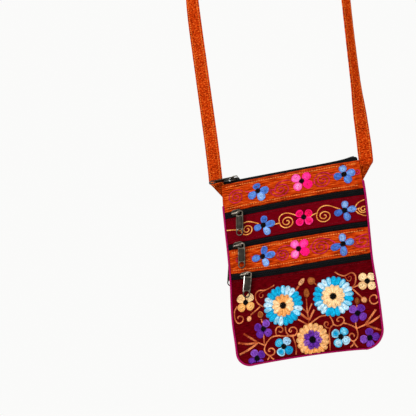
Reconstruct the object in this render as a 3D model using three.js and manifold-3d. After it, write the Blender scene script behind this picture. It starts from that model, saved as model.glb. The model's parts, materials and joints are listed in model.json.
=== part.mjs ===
import * as THREE from 'three';
import { mergeVertices } from 'three/addons/utils/BufferGeometryUtils.js';
import Module from 'manifold-3d';

// An embroidered crossbody bag that hangs from the middle of its shoulder strap.
// Millimetres: +X is the viewer's right, +Z is up and the embroidered front faces -Y.
// The origin is on the underside of the strap, where it rests on a shoulder.
// Heights on the pouch are given as a drop below the top edge of its cloth.

// Cloth and clearances
const GAP = 0.3;
const CLOTH = 1.6;
const CORNER_RADIUS = { left: 17, right: 23 };
const LENS_POWER = 2.3;
const BAND_PUFF = 0.8;

// Height of the cloth at its middle and at each bottom corner, which hangs a little lower
const BAG_HEIGHT = 238.3;
const CORNER_DROP = { left: 240.3, right: 241.2 };

// Half width of the cloth on each side of the middle
const OUTLINE = [
  { drop: 0, left: 91.4, right: 90.6 },
  { drop: 45, left: 92.3, right: 93.2 },
  { drop: 100, left: 91.5, right: 92.4 },
  { drop: 130, left: 91.6, right: 91.8 },
  { drop: 182, left: 93.6, right: 94.2 },
  { drop: 215, left: 92.0, right: 94.2 },
  { drop: CORNER_DROP.right, left: 91.4, right: 93.8 },
];

// Distance from the seam plane to the inner face: at the middle of the front and of the back,
// and at the side seam, which opens at the top to take the ends of the strap
const DEPTH = [
  { drop: 0, front: 1.8, back: 1.8, seam: 1.3 },
  { drop: 16, front: 4.0, back: 3.0, seam: 1.3 },
  { drop: 31, front: 5.6, back: 3.8, seam: 1.3 },
  { drop: 48, front: 6.9, back: 4.4, seam: 0.35 },
  { drop: 85, front: 8.0, back: 5.0, seam: 0.3 },
  { drop: 130, front: 8.2, back: 5.0, seam: 0.3 },
  { drop: 180, front: 7.6, back: 4.6, seam: 0.3 },
  { drop: 212, front: 5.4, back: 3.4, seam: 0.3 },
  { drop: 230, front: 2.3, back: 1.6, seam: 0.3 },
  { drop: BAG_HEIGHT, front: 0.3, back: 0.2, seam: 0.3 },
  { drop: CORNER_DROP.right, front: 0, back: 0, seam: 0.3 },
];

// Zips let into the cloth: drop and width of each slot, its sag in the middle and the rise of its left end
const ZIPS = {
  upper: { face: 'front', drop: 42.8, slot: 9.5, sag: 0, rise: 0 },
  middle: { face: 'front', drop: 85.7, slot: 8.2, sag: 0.4, rise: 0 },
  lower: { face: 'front', drop: 127.4, slot: 9.0, sag: 2.0, rise: 3.0 },
  back: { face: 'back', drop: 104, slot: 8.2, sag: 0.5, rise: 0 },
};
const TAPE = 1.0;
const TAPE_INSET = 0.8;
const COIL = { base: 2.3, crest: 1.9, top: 2.9, clear: 0.8, ramp: 1.4 };

// The top zip stands up out of the mouth, and its right end is turned up
const TOP_ZIP = [
  { x: -85.6, rise: 3.4 },
  { x: -60, rise: 3.7 },
  { x: 0, rise: 3.7 },
  { x: 50, rise: 3.6 },
  { x: 72, rise: 4.4 },
  { x: 84, rise: 5.9 },
  { x: 88.6, rise: 5.2 },
];
const TOP_ZIP_TUCK = 6;
const TOP_ZIP_FOLD = 0.35;

// Magenta binding folded over the edge, mostly to the back
const BINDING = {
  cover: { front: 1.2, back: 4 },
  start: { left: 30, right: 28.6 },
  wall: 1.0,
  noseDrop: 0.4,
};

// Shoulder strap, measured from ear top to ear top; its left leg is set back behind the top pull
const STRAP_LENGTH = 1200;
const STRAP = { width: 18.5, thickness: 2, capRise: 100, earStep: 3, crowding: 1.5 };
const SETBACK = { depth: 3.4, from: 0.5, full: 7, hold: 60, end: 260 };
const EAR_TOP = { left: 5, right: -6 };

// Each end narrows into a triangular ear whose inner edge is sewn in the side seam; the left one has a tail
const EAR_TAIL = { rise: -35, inner: 88.6, outer: 91.9 };
const EAR = [
  { rise: -22, inner: 86.8, outer: 92.2 },
  { rise: -20, inner: 86.2, outer: 93.6 },
  { rise: -12, inner: 86, outer: 99.4 },
  { rise: -5, inner: 87, outer: 104.4 },
  { rise: -1, inner: 89.6, outer: 107.8 },
];

// Distance of each leg from the middle, and its turn from facing front to facing outwards
const LEGS = [
  { rise: -12, left: 100.4, right: 99.2, turnLeft: 0, turnRight: 0 },
  { rise: 5, left: 100.6, right: 99.4, turnLeft: 0, turnRight: 0 },
  { rise: 20, left: 100.8, right: 99.5, turnLeft: 0, turnRight: 20 },
  { rise: 60, left: 102, right: 99, turnLeft: 0, turnRight: 36 },
  { rise: 95, left: 103.6, right: 98.6, turnLeft: 0, turnRight: 56 },
  { rise: 160, left: 106.3, right: 98.6, turnLeft: 0, turnRight: 64 },
  { rise: 260, left: 110.2, right: 100, turnLeft: 6, turnRight: 66 },
  { rise: 350, left: 111, right: 102.5, turnLeft: 55, turnRight: 80 },
  { rise: 440, left: 110, right: 104.5, turnLeft: 90, turnRight: 90 },
  { rise: 520, left: 110, right: 105, turnLeft: 90, turnRight: 90 },
];

// Slider, crown and pull tab of each zip; a tab leans to its left, and its weight makes the crown droop
const PLATE = { halfLength: 6.4, halfWidth: 4.2, radius: 2.2, wall: 1.2 };
const RAIL = { inner: 2.6, outer: 3.5, foot: 1.3, halfLength: 2.4 };
const CROWN = { halfWindow: 5.0, height: 3.2, wire: 1.3, width: 2.0, bend: 1.6 };
const PULL = { length: 33.6, halfWidth: 5.0, wall: 1.4, bar: 1.8, shoulder: 3.7 };
const EYE = { halfWidth: 3.0, length: 4.8, radius: 1.6 };
const END_HOLE = 3.5;
const RECESS = { top: 7, bottom: 21.6, halfWidth: 3.3, radius: 1.4, depth: 0.35 };
const SLIDERS = {
  upper: { x: -73.4, lean: 5.5, droop: 2.0 },
  middle: { x: -74.8, lean: 4.5, droop: 2.0 },
  lower: { x: -68.9, lean: 12, droop: 0 },
  back: { x: -83.1, lean: -8.5, droop: 0 },
};
const TOP_SLIDER = { x: -73.6, halfWindow: 3.4, swivel: 20, tilt: 8 };

// Facets: columns and rows of the walls, and steps along the zips, the binding and the strap
const FRONT_COLUMNS = 22;
const BACK_COLUMNS = 18;
const ROWS = { band: 4, backUpper: 7, long: 12 };
const ZIP_STEPS = { slot: 14, top: 18 };
const EDGE_STEPS = { side: 13, corner: 7, bottom: 10 };
const STRAP_STEPS = { leg: 18, cap: 20 };
const ARC_SEGMENTS = 2;

// Finishes
const FINISH = {
  orange: { color: '#d4560f', roughness: 0.9 },
  maroon: { color: '#650a19', roughness: 0.9 },
  magenta: { color: '#b0146c', roughness: 0.8 },
  tape: { color: '#10161a', roughness: 0.75 },
  gunmetal: { color: '#4a4845', roughness: 0.3, metalness: 1 },
};

const { lerp, smoothstep, degToRad } = THREE.MathUtils;
const wasm = await Module();
wasm.setup();

// A smooth curve through one column of a table
function column(rows, key, value) {
  const curve = new THREE.CubicInterpolant(rows.map((row) => row[key]), rows.map((row) => row[value]), 1);
  return (at) => curve.evaluate(at)[0];
}

const leftEdge = column(OUTLINE, 'drop', 'left');
const rightEdge = column(OUTLINE, 'drop', 'right');
const frontDepth = column(DEPTH, 'drop', 'front');
const backDepth = column(DEPTH, 'drop', 'back');
const seamDepth = column(DEPTH, 'drop', 'seam');

// Lowest point and radius of the bottom corner on one side
function cornerOf(side) {
  const key = side < 0 ? 'left' : 'right';
  return { lowest: CORNER_DROP[key], radius: CORNER_RADIUS[key] };
}

// Half width of the cloth at a drop, with the bottom corner rounded off
function halfWidth(side, drop) {
  const width = side < 0 ? leftEdge(drop) : rightEdge(drop);
  const { lowest, radius } = cornerOf(side);
  const below = drop - (lowest - radius);
  if (below <= 0) return width;
  return width - radius + Math.sqrt(Math.max(radius ** 2 - below ** 2, 0));
}

// Share of the half width at x, from -1 at the left seam to 1 at the right seam
function shareAt(x, drop) {
  return THREE.MathUtils.clamp(x / halfWidth(x, drop), -1, 1);
}

function slotDrop(zip, share) {
  const leftShare = Math.max(0, (-share - 0.25) / 0.75);
  return zip.drop + zip.sag * (1 - share ** 2) - zip.rise * leftShare ** 2;
}

// Cloth stands a little proud between two zips and draws in along each slot
function puffAt(face, share, drop) {
  if (face === 'back') return 0;
  const lines = [0, ZIPS.upper.drop, ZIPS.middle.drop, slotDrop(ZIPS.lower, share)];
  const next = lines.findIndex((line) => line > drop);
  if (next < 1) return 0;
  const across = (drop - lines[next - 1]) / (lines[next] - lines[next - 1]);
  return BAND_PUFF * Math.sin(Math.PI * across) ** 2 * (1 - share ** 4);
}

// Distance from the seam plane to the inner face of the front or back wall
function innerDepth(face, share, drop) {
  const depth = face === 'front' ? frontDepth(drop) : backDepth(drop);
  const lens = 1 - Math.abs(share) ** LENS_POWER;
  return seamDepth(drop) + Math.max(depth, 0) * lens + puffAt(face, share, drop);
}

// A point on a wall, lifted outwards from its inner face
function wallPoint(face, share, drop, lift) {
  const out = innerDepth(face, share, drop) + lift;
  const x = share * halfWidth(share, drop);
  return new THREE.Vector3(x, face === 'front' ? -out : out, -drop);
}

// A closed sheet between two grids of points that have the same rows and columns
function sheet(outer, inner) {
  const rows = outer.length;
  const columns = outer[0].length;
  const points = [...outer.flat(), ...inner.flat()];
  const at = (layer, row, col) => (layer * rows + row) * columns + col;
  const index = [];
  const quad = (a, b, c, d) => index.push(a, b, c, a, c, d);
  for (let row = 0; row < rows - 1; row++) {
    for (let col = 0; col < columns - 1; col++) {
      quad(at(0, row, col), at(0, row + 1, col), at(0, row + 1, col + 1), at(0, row, col + 1));
      quad(at(1, row, col), at(1, row, col + 1), at(1, row + 1, col + 1), at(1, row + 1, col));
    }
    quad(at(0, row, 0), at(1, row, 0), at(1, row + 1, 0), at(0, row + 1, 0));
    const last = columns - 1;
    quad(at(0, row, last), at(0, row + 1, last), at(1, row + 1, last), at(1, row, last));
  }
  for (let col = 0; col < columns - 1; col++) {
    quad(at(0, 0, col), at(0, 0, col + 1), at(1, 0, col + 1), at(1, 0, col));
    const end = rows - 1;
    quad(at(0, end, col), at(1, end, col), at(1, end, col + 1), at(0, end, col + 1));
  }
  if (signedVolume(points, index) < 0) index.reverse();
  const geometry = new THREE.BufferGeometry().setFromPoints(points);
  geometry.setIndex(index);
  geometry.computeVertexNormals();
  return geometry;
}

function signedVolume(points, index) {
  let sum = 0;
  const cross = new THREE.Vector3();
  for (let i = 0; i < index.length; i += 3) {
    const [a, b, c] = [points[index[i]], points[index[i + 1]], points[index[i + 2]]];
    sum += a.dot(cross.crossVectors(b, c)) / 6;
  }
  return sum;
}

function steps(count) {
  return Array.from({ length: count + 1 }, (_, i) => i / count);
}

// One panel of the front or back, between an upper and a lower line; columns crowd to the seams
function panel(face, upper, lower, rowCount, easeRow = (v) => v) {
  const columnCount = face === 'front' ? FRONT_COLUMNS : BACK_COLUMNS;
  const grid = (lift) => steps(rowCount).map((v) => steps(columnCount).map((s) => {
    const share = Math.sin(Math.PI * (s - 0.5));
    return wallPoint(face, share, lerp(upper(share), lower(share), easeRow(v)), lift);
  }));
  return sheet(grid(CLOTH), grid(0));
}

const above = (zip) => (share) => slotDrop(zip, share) - zip.slot / 2;
const below = (zip) => (share) => slotDrop(zip, share) + zip.slot / 2;
const topEdge = () => 0;
const bottomEdge = (share) => lerp(BAG_HEIGHT, cornerOf(share).lowest, share ** 2);
const crowdDown = (v) => Math.sin(Math.PI * v / 2);

// A zip let into its slot: flat tape with the coil as a ridge that ends short of the binding
function slotZip(zip) {
  const half = zip.slot / 2 - GAP;
  const coilEnd = BINDING.cover[zip.face] + COIL.clear;
  const coilFull = coilEnd + COIL.ramp;
  const ends = [
    { inset: TAPE_INSET, crest: TAPE + GAP },
    { inset: coilEnd, crest: TAPE + GAP },
    { inset: coilFull, crest: COIL.top },
  ];
  const leftSeam = -halfWidth(-1, zip.drop);
  const rightSeam = halfWidth(1, zip.drop);
  const run = lerp.bind(null, leftSeam + coilFull, rightSeam - coilFull);
  const stations = [
    ...ends.map(({ inset, crest }) => ({ x: leftSeam + inset, crest })),
    ...steps(ZIP_STEPS.slot).slice(1, -1).map((s) => ({ x: run(s), crest: COIL.top })),
    ...ends.toReversed().map(({ inset, crest }) => ({ x: rightSeam - inset, crest })),
  ];
  const place = (x, across, lift) => {
    const share = shareAt(x, zip.drop);
    const point = wallPoint(zip.face, share, slotDrop(zip, share), lift);
    return point.setX(x).setZ(point.z + across);
  };
  const section = [-half, -COIL.base, -COIL.crest, COIL.crest, COIL.base, half];
  const outer = stations.map(({ x, crest }) => section.map((across) => {
    return place(x, across, Math.abs(across) <= COIL.crest ? crest : TAPE);
  }));
  const inner = stations.map(({ x }) => section.map((across) => place(x, across, 0)));
  return sheet(outer, inner);
}

// The top zip: its two tapes rise from inside the mouth and meet under the coil
function topZip() {
  const rise = column(TOP_ZIP, 'x', 'rise');
  const run = lerp.bind(null, TOP_ZIP[0].x, TOP_ZIP.at(-1).x);
  const profile = (x, inset) => {
    const mouth = seamDepth(0) + frontDepth(0) * (1 - Math.abs(shareAt(x, 0)) ** LENS_POWER) - GAP;
    const top = rise(x);
    const ridge = Math.min(COIL.crest, mouth);
    const half = [
      { y: mouth - inset, z: -TOP_ZIP_TUCK },
      { y: mouth - inset, z: top * TOP_ZIP_FOLD - inset },
      { y: inset ? TAPE / 2 : ridge, z: top - (inset ? COIL.top : 0) },
    ];
    const front = half.map(({ y, z }) => new THREE.Vector3(x, -y, z));
    const back = half.toReversed().map(({ y, z }) => new THREE.Vector3(x, y, z));
    return [...front, ...back];
  };
  const xs = steps(ZIP_STEPS.top).map(run);
  return sheet(xs.map((x) => profile(x, 0)), xs.map((x) => profile(x, TAPE)));
}

// The bound edge from under the left ear, down, along the bottom and up to the right ear
function edgePath() {
  const edgeAt = (share, drop) => new THREE.Vector2(share * halfWidth(share, drop), -drop);
  const side = (sign, start, count) => {
    const { lowest, radius } = cornerOf(sign);
    return steps(count).map((v) => edgeAt(sign, lerp(start, lowest - radius, v)));
  };
  const corner = (sign, count) => {
    const { lowest, radius } = cornerOf(sign);
    return steps(count).slice(1).map((v) => edgeAt(sign, lowest - radius * (1 - Math.sin(v * Math.PI / 2))));
  };
  const { start } = BINDING;
  const left = [...side(-1, start.left, EDGE_STEPS.side), ...corner(-1, EDGE_STEPS.corner)];
  const right = [...side(1, start.right, EDGE_STEPS.side), ...corner(1, EDGE_STEPS.corner)];
  const bottom = steps(EDGE_STEPS.bottom).slice(1, -1).map((s) => edgeAt(2 * s - 1, bottomEdge(2 * s - 1)));
  return [...left, ...bottom, ...right.reverse()];
}

// Binding folded over the edge: each section is square inside, one clearance from the cloth,
// and its outside has a rounded nose
function edgeBinding() {
  const path = edgePath();
  const { wall, noseDrop } = BINDING;
  const insideHalf = (cover) => [-cover, -cover / 2, GAP / 2, GAP].map((reach) => ({ reach, lift: GAP }));
  const outsideHalf = (cover) => [
    ...[-cover, -cover / 2, GAP / 2].map((reach) => ({ reach, lift: GAP + wall })),
    { reach: GAP + wall, lift: -noseDrop },
  ];
  const sections = path.map((edge, i) => {
    const before = path[Math.max(i - 1, 0)];
    const after = path[Math.min(i + 1, path.length - 1)];
    const along = after.clone().sub(before).normalize();
    const outward = new THREE.Vector2(along.y, -along.x);
    const at = (reach, face, lift) => {
      const spot = edge.clone().addScaledVector(outward, Math.min(reach, 0));
      const depth = innerDepth(face, shareAt(spot.x, -spot.y), -spot.y) + CLOTH + lift;
      const x = edge.x + outward.x * reach;
      const z = edge.y + outward.y * reach;
      return new THREE.Vector3(x, face === 'front' ? -depth : depth, z);
    };
    const chain = (half) => [
      ...half(BINDING.cover.front).map(({ reach, lift }) => at(reach, 'front', lift)),
      ...half(BINDING.cover.back).toReversed().map(({ reach, lift }) => at(reach, 'back', lift)),
    ];
    return { outer: chain(outsideHalf), inner: chain(insideHalf) };
  });
  return sheet(sections.map((section) => section.outer), sections.map((section) => section.inner));
}

// Stations along the strap, from the left ear over the shoulder to the right ear
function strapStations() {
  const legLeft = column(LEGS, 'rise', 'left');
  const legRight = column(LEGS, 'rise', 'right');
  const turnLeft = column(LEGS, 'rise', 'turnLeft');
  const turnRight = column(LEGS, 'rise', 'turnRight');
  const springLeft = LEGS.at(-1).left;
  const springRight = LEGS.at(-1).right;
  const [a, b] = [(springLeft + springRight) / 2, STRAP.capRise];
  const capLength = Math.PI * (3 * (a + b) - Math.sqrt((3 * a + b) * (a + 3 * b))) / 2;
  const spring = (STRAP_LENGTH - capLength + EAR_TOP.left + EAR_TOP.right) / 2;
  const back = (sign, rise) => {
    if (sign > 0) return 0;
    const { depth, from, full, hold, end } = SETBACK;
    return depth * smoothstep(rise, from, full) * (1 - smoothstep(rise, hold, end));
  };
  const ear = (sign, top, rows) => rows.map(({ rise, inner, outer }) => ({
    point: new THREE.Vector3(sign * (inner + outer) / 2, back(sign, top + rise), top + rise),
    width: outer - inner,
    turn: 0,
    heading: new THREE.Vector3(0, 0, -sign),
  }));
  const leg = (sign, top, line, turn) => steps(STRAP_STEPS.leg).map((v) => {
    const rise = lerp(top + STRAP.earStep, spring, v ** STRAP.crowding);
    const point = new THREE.Vector3(sign * line(rise), back(sign, rise), rise);
    return { point, width: STRAP.width, turn: degToRad(THREE.MathUtils.clamp(turn(rise), 0, 90)) };
  });
  const cap = steps(STRAP_STEPS.cap).slice(1, -1).map((v) => {
    const angle = v * Math.PI;
    const reach = angle < Math.PI / 2 ? springLeft : springRight;
    const point = new THREE.Vector3(-reach * Math.cos(angle), 0, spring + b * Math.sin(angle));
    return { point, width: STRAP.width, turn: Math.PI / 2 };
  });
  const left = [...ear(-1, EAR_TOP.left, [EAR_TAIL, ...EAR]), ...leg(-1, EAR_TOP.left, legLeft, turnLeft)];
  const right = [...ear(1, EAR_TOP.right, EAR), ...leg(1, EAR_TOP.right, legRight, turnRight)];
  return { stations: [...left, ...cap, ...right.reverse()], apex: spring + b };
}

// The strap keeps its face across its path: to the front at the ears, outwards over the shoulder
function strapLoop(stations) {
  const last = stations.length - 1;
  const front = new THREE.Vector3(0, -1, 0);
  const headingAt = (i) => {
    const next = stations[Math.min(i + 1, last)].point;
    return next.clone().sub(stations[Math.max(i - 1, 0)].point).setY(0).normalize();
  };
  const layer = (lift) => stations.map(({ point, width, turn, heading }, i) => {
    const along = heading ?? headingAt(i);
    const outward = new THREE.Vector3(-along.z, 0, along.x);
    const normal = front.clone().multiplyScalar(Math.cos(turn)).addScaledVector(outward, Math.sin(turn));
    const across = along.clone().cross(normal);
    return [-0.5, 0, 0.5].map((share) => {
      return point.clone().addScaledVector(across, share * width).addScaledVector(normal, lift);
    });
  });
  return sheet(layer(STRAP.thickness / 2), layer(-STRAP.thickness / 2));
}

function toSolid(geometry) {
  const bare = geometry.clone();
  bare.deleteAttribute('normal');
  bare.deleteAttribute('uv');
  const merged = mergeVertices(bare, 1e-4);
  const vertProperties = new Float32Array(merged.attributes.position.array);
  const triVerts = new Uint32Array(merged.index.array);
  return new wasm.Manifold(new wasm.Mesh({ numProp: 3, vertProperties, triVerts }));
}

function toGeometry(solid) {
  const { vertProperties, triVerts } = solid.getMesh();
  const geometry = new THREE.BufferGeometry();
  geometry.setAttribute('position', new THREE.BufferAttribute(new Float32Array(vertProperties), 3));
  geometry.setIndex(new THREE.BufferAttribute(new Uint32Array(triVerts), 1));
  geometry.computeVertexNormals();
  return geometry;
}

// A rectangle with round corners, centred on a point
function roundedRectangle(target, x, y, halfX, halfY, radius) {
  const right = x + halfX - radius;
  const left = x - halfX + radius;
  const high = y + halfY - radius;
  const low = y - halfY + radius;
  target.absarc(right, high, radius, 0, Math.PI / 2, false);
  target.absarc(left, high, radius, Math.PI / 2, Math.PI, false);
  target.absarc(left, low, radius, Math.PI, Math.PI * 1.5, false);
  target.absarc(right, low, radius, Math.PI * 1.5, Math.PI * 2, false);
  target.closePath();
  return target;
}

function extrude(shape, depth, curveSegments) {
  return new THREE.ExtrudeGeometry(shape, { depth, curveSegments, bevelEnabled: false });
}

// Slider in its own frame: along the zip in X, across it in Z, outwards from the wall in -Y
const PLATE_FOOT = COIL.top + GAP;
const PLATE_TOP = PLATE_FOOT + PLATE.wall;
const SWING_LIFT = PLATE_TOP + CROWN.height - CROWN.bend;
const LEG_X = CROWN.halfWindow + CROWN.wire / 2;

function sliderBody(halfWindow, droop = 0) {
  const { halfLength, halfWidth: half, radius } = PLATE;
  const outline = roundedRectangle(new THREE.Shape(), 0, 0, halfLength, half, radius);
  const plate = extrude(outline, PLATE.wall, ARC_SEGMENTS);
  plate.translate(0, 0, PLATE_FOOT).rotateX(Math.PI / 2);
  const railHeight = PLATE_FOOT + PLATE.wall / 2 - RAIL.foot;
  const rails = [-1, 1].map((sign) => {
    const rail = new THREE.BoxGeometry(2 * RAIL.halfLength, railHeight, RAIL.outer - RAIL.inner);
    return rail.translate(0, -RAIL.foot - railHeight / 2, sign * (RAIL.inner + RAIL.outer) / 2);
  });
  const { height, wire, width, bend } = CROWN;
  const foot = PLATE_TOP - PLATE.wall / 2;
  const turn = PLATE_TOP + height - bend;
  const arch = new THREE.Shape();
  arch.moveTo(-halfWindow - wire, foot);
  arch.absarc(-halfWindow + bend, turn, bend + wire, Math.PI, Math.PI / 2, true);
  arch.absarc(halfWindow - bend, turn, bend + wire, Math.PI / 2, 0, true);
  arch.lineTo(halfWindow + wire, foot);
  arch.lineTo(halfWindow, foot);
  arch.absarc(halfWindow - bend, turn, bend, 0, Math.PI / 2, false);
  arch.absarc(-halfWindow + bend, turn, bend, Math.PI / 2, Math.PI, false);
  arch.lineTo(-halfWindow, foot);
  arch.closePath();
  const crown = extrude(arch, width, ARC_SEGMENTS);
  crown.translate(0, 0, droop - width / 2).rotateX(Math.PI);
  return toGeometry([...rails, crown].reduce((body, piece) => body.add(toSolid(piece)), toSolid(plate)));
}

// Pull tab hanging in -Z from the upper edge of its eye, its faces to the front and back
function pullTab() {
  const { length, halfWidth: half, wall, bar, shoulder } = PULL;
  const end = bar - length + half;
  const outline = new THREE.Shape();
  outline.absarc(half - shoulder, bar - shoulder, shoulder, 0, Math.PI / 2, false);
  outline.absarc(shoulder - half, bar - shoulder, shoulder, Math.PI / 2, Math.PI, false);
  outline.absarc(0, end, half, Math.PI, Math.PI * 1.5, false);
  outline.absarc(0, end, half, Math.PI * 1.5, Math.PI * 2, false);
  outline.closePath();
  const eye = new THREE.Path();
  roundedRectangle(eye, 0, -EYE.length / 2, EYE.halfWidth, EYE.length / 2, EYE.radius);
  const endHole = roundedRectangle(new THREE.Path(), 0, end, END_HOLE, END_HOLE, END_HOLE);
  outline.holes.push(eye, endHole);
  const tab = extrude(outline, wall, ARC_SEGMENTS).translate(0, 0, -wall / 2);
  const halfHeight = (RECESS.bottom - RECESS.top) / 2;
  const middle = -(RECESS.bottom + RECESS.top) / 2;
  const cutDepth = 2 * RECESS.depth;
  const cuts = [-1, 1].map((sign) => {
    const well = new THREE.Shape();
    roundedRectangle(well, 0, middle, RECESS.halfWidth, halfHeight, RECESS.radius);
    return extrude(well, cutDepth, 1).translate(0, 0, sign * wall / 2 - RECESS.depth);
  });
  const cut = cuts.reduce((body, piece) => body.subtract(toSolid(piece)), toSolid(tab));
  return toGeometry(cut).rotateX(Math.PI / 2);
}

function mesh(name, geometry, finish) {
  const part = new THREE.Mesh(geometry, new THREE.MeshStandardMaterial({ ...FINISH[finish] }));
  part.name = name;
  return part;
}

// Slider and pull of a zip let into a wall, turned to face out of the padded cloth
function wallSlider(name) {
  const zip = ZIPS[name];
  const { x, lean, droop } = SLIDERS[name];
  const depthAt = (at) => innerDepth(zip.face, shareAt(at, zip.drop), slotDrop(zip, shareAt(at, zip.drop)));
  const slope = Math.atan(depthAt(x + 0.5) - depthAt(x - 0.5));
  const share = shareAt(x, zip.drop);
  const group = new THREE.Group();
  group.position.copy(wallPoint(zip.face, share, slotDrop(zip, share), 0));
  group.rotation.z = zip.face === 'front' ? -slope : Math.PI + slope;
  group.add(mesh(`${name}_slider`, sliderBody(CROWN.halfWindow, droop), 'gunmetal'));
  const pull = mesh(`${name}_pull`, pullTab().translate(0, 0, CROWN.width / 2 + GAP), 'gunmetal');
  pull.position.set(LEG_X, -SWING_LIFT, -droop);
  pull.rotation.y = degToRad(lean);
  group.add(pull);
  return group;
}

// Slider on the top zip; its pull lies over the corner, turned to pass in front of the strap
function topSlider() {
  const rise = column(TOP_ZIP, 'x', 'rise')(TOP_SLIDER.x);
  const group = new THREE.Group();
  group.position.set(TOP_SLIDER.x, 0, rise - COIL.top);
  const slider = mesh('top_slider', sliderBody(TOP_SLIDER.halfWindow), 'gunmetal');
  slider.rotation.x = -Math.PI / 2;
  group.add(slider);
  const tab = pullTab().translate(0, 0, -PULL.bar / 2).rotateZ(Math.PI / 2);
  const pull = mesh('top_pull', tab, 'gunmetal');
  pull.position.set(CROWN.bend - TOP_SLIDER.halfWindow, 0, SWING_LIFT);
  pull.rotation.set(0, degToRad(90 - TOP_SLIDER.tilt), degToRad(TOP_SLIDER.swivel), 'ZYX');
  group.add(pull);
  return group;
}

const { upper, middle, lower, back } = ZIPS;
const { stations, apex } = strapStations();
const pouch = new THREE.Group();
pouch.add(
  mesh('strap', strapLoop(stations), 'orange'),
  mesh('top_band', panel('front', topEdge, above(upper), ROWS.band), 'orange'),
  mesh('middle_band', panel('front', below(upper), above(middle), ROWS.band), 'maroon'),
  mesh('lower_band', panel('front', below(middle), above(lower), ROWS.band), 'orange'),
  mesh('front_panel', panel('front', below(lower), bottomEdge, ROWS.long, crowdDown), 'maroon'),
  mesh('back_upper_panel', panel('back', topEdge, above(back), ROWS.backUpper), 'maroon'),
  mesh('back_lower_panel', panel('back', below(back), bottomEdge, ROWS.long, crowdDown), 'maroon'),
  mesh('edge_binding', edgeBinding(), 'magenta'),
  mesh('top_zip', topZip(), 'tape'),
  ...Object.entries(ZIPS).map(([name, zip]) => mesh(`${name}_zip`, slotZip(zip), 'tape')),
  ...Object.keys(SLIDERS).map(wallSlider),
  topSlider(),
);
pouch.position.z = STRAP.thickness / 2 - apex;

const bag = new THREE.Group();
bag.add(pouch);

export default bag;
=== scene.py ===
# %% [markdown]
# An embroidered crossbody bag
#
# The real bag is a flat pouch of hand-woven cloth: three bands and a panel on the front, parted by zips
# and covered in folk flowers, with a bound edge and a long strap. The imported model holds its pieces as
# plain solids in one frame. This lesson dresses each of them: finer cloth, thread laid stitch by stitch,
# zip coils and plated metal, all in the same place as the solid that each piece stands for.

# %% The frame
import json
import math

import bmesh
import bpy
import numpy as np
from mathutils import Matrix, Vector


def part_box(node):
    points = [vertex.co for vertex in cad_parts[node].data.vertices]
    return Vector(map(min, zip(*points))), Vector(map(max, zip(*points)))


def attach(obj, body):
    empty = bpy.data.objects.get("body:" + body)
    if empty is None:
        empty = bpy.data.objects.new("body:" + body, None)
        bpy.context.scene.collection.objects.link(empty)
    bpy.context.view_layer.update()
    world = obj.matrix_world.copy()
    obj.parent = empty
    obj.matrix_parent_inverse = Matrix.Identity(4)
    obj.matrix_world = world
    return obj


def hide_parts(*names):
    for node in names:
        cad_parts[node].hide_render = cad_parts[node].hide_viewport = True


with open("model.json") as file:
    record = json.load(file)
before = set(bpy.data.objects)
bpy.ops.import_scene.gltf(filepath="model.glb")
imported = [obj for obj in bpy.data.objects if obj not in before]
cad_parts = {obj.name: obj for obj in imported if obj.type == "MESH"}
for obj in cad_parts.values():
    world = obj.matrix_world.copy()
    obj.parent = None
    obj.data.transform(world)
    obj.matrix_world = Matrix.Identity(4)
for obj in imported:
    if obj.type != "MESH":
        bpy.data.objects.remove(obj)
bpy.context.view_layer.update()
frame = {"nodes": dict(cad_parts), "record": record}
MM = 0.001
TOP_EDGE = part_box("top_band")[1][2]
print(f"{len(frame['nodes'])} nodes; the cloth's top edge is at z = {TOP_EDGE:.4f} m")

# %% [markdown]
# The camera stands a little below the pouch and to its right, and is rolled a few degrees, so the bag
# seems to lean. Azimuth, elevation, roll and a focal length give the same view without any shift. An aim
# point and a distance place it, which is easier to adjust than a bare matrix.

# %% Camera
AIM = Vector((-0.0980, -0.0494, -0.5796))
AZIMUTH, ELEVATION, ROLL = math.radians(17.23), math.radians(-17.97), math.radians(4.92)
DISTANCE = 1.748
IMAGE_SIDE = 416
FOCAL_PIXELS = 1391
SENSOR_WIDTH = 36

backward = Vector((math.sin(AZIMUTH) * math.cos(ELEVATION), -math.cos(AZIMUTH) * math.cos(ELEVATION),
                   math.sin(ELEVATION)))
level = Vector((math.cos(AZIMUTH), math.sin(AZIMUTH), 0))
upright = backward.cross(level)
rightward = level * math.cos(ROLL) - upright * math.sin(ROLL)
upward = level * math.sin(ROLL) + upright * math.cos(ROLL)

camera_data = bpy.data.cameras.new("camera")
camera_data.sensor_width = SENSOR_WIDTH
camera_data.lens = FOCAL_PIXELS / IMAGE_SIDE * SENSOR_WIDTH
camera = bpy.data.objects.new("camera", camera_data)
camera.matrix_world = Matrix.Translation(AIM + backward * DISTANCE) @ Matrix(
    (rightward, upward, backward)).transposed().to_4x4()
bpy.context.scene.collection.objects.link(camera)
bpy.context.scene.camera = camera
print(f"camera with a {camera_data.lens:.0f} mm lens, {DISTANCE:.2f} m from the bag")

# %% [markdown]
# Colours are written as sRGB hex values, as they are read off a screen, and one function turns them into
# the linear numbers that a shader expects. A second small function adds any node with its settings and
# its links, for shader trees and geometry trees alike.

# %% Colour and node helpers
def linear(hex_colour):
    """The linear RGBA of an sRGB hex value."""
    parts = [int(hex_colour[i:i + 2], 16) / 255 for i in (1, 3, 5)]
    return (*[p / 12.92 if p <= 0.04045 else ((p + 0.055) / 1.055) ** 2.4 for p in parts], 1.0)


def add(tree, kind, inputs=(), **settings):
    """Add one node; an input is a plain value or the socket that is linked to it."""
    node = tree.nodes.new(kind)
    for key, value in settings.items():
        setattr(node, key, value)
    for key, value in dict(inputs).items():
        if isinstance(value, bpy.types.NodeSocket):
            tree.links.new(value, node.inputs[key])
        else:
            node.inputs[key].default_value = value
    return node


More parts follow.
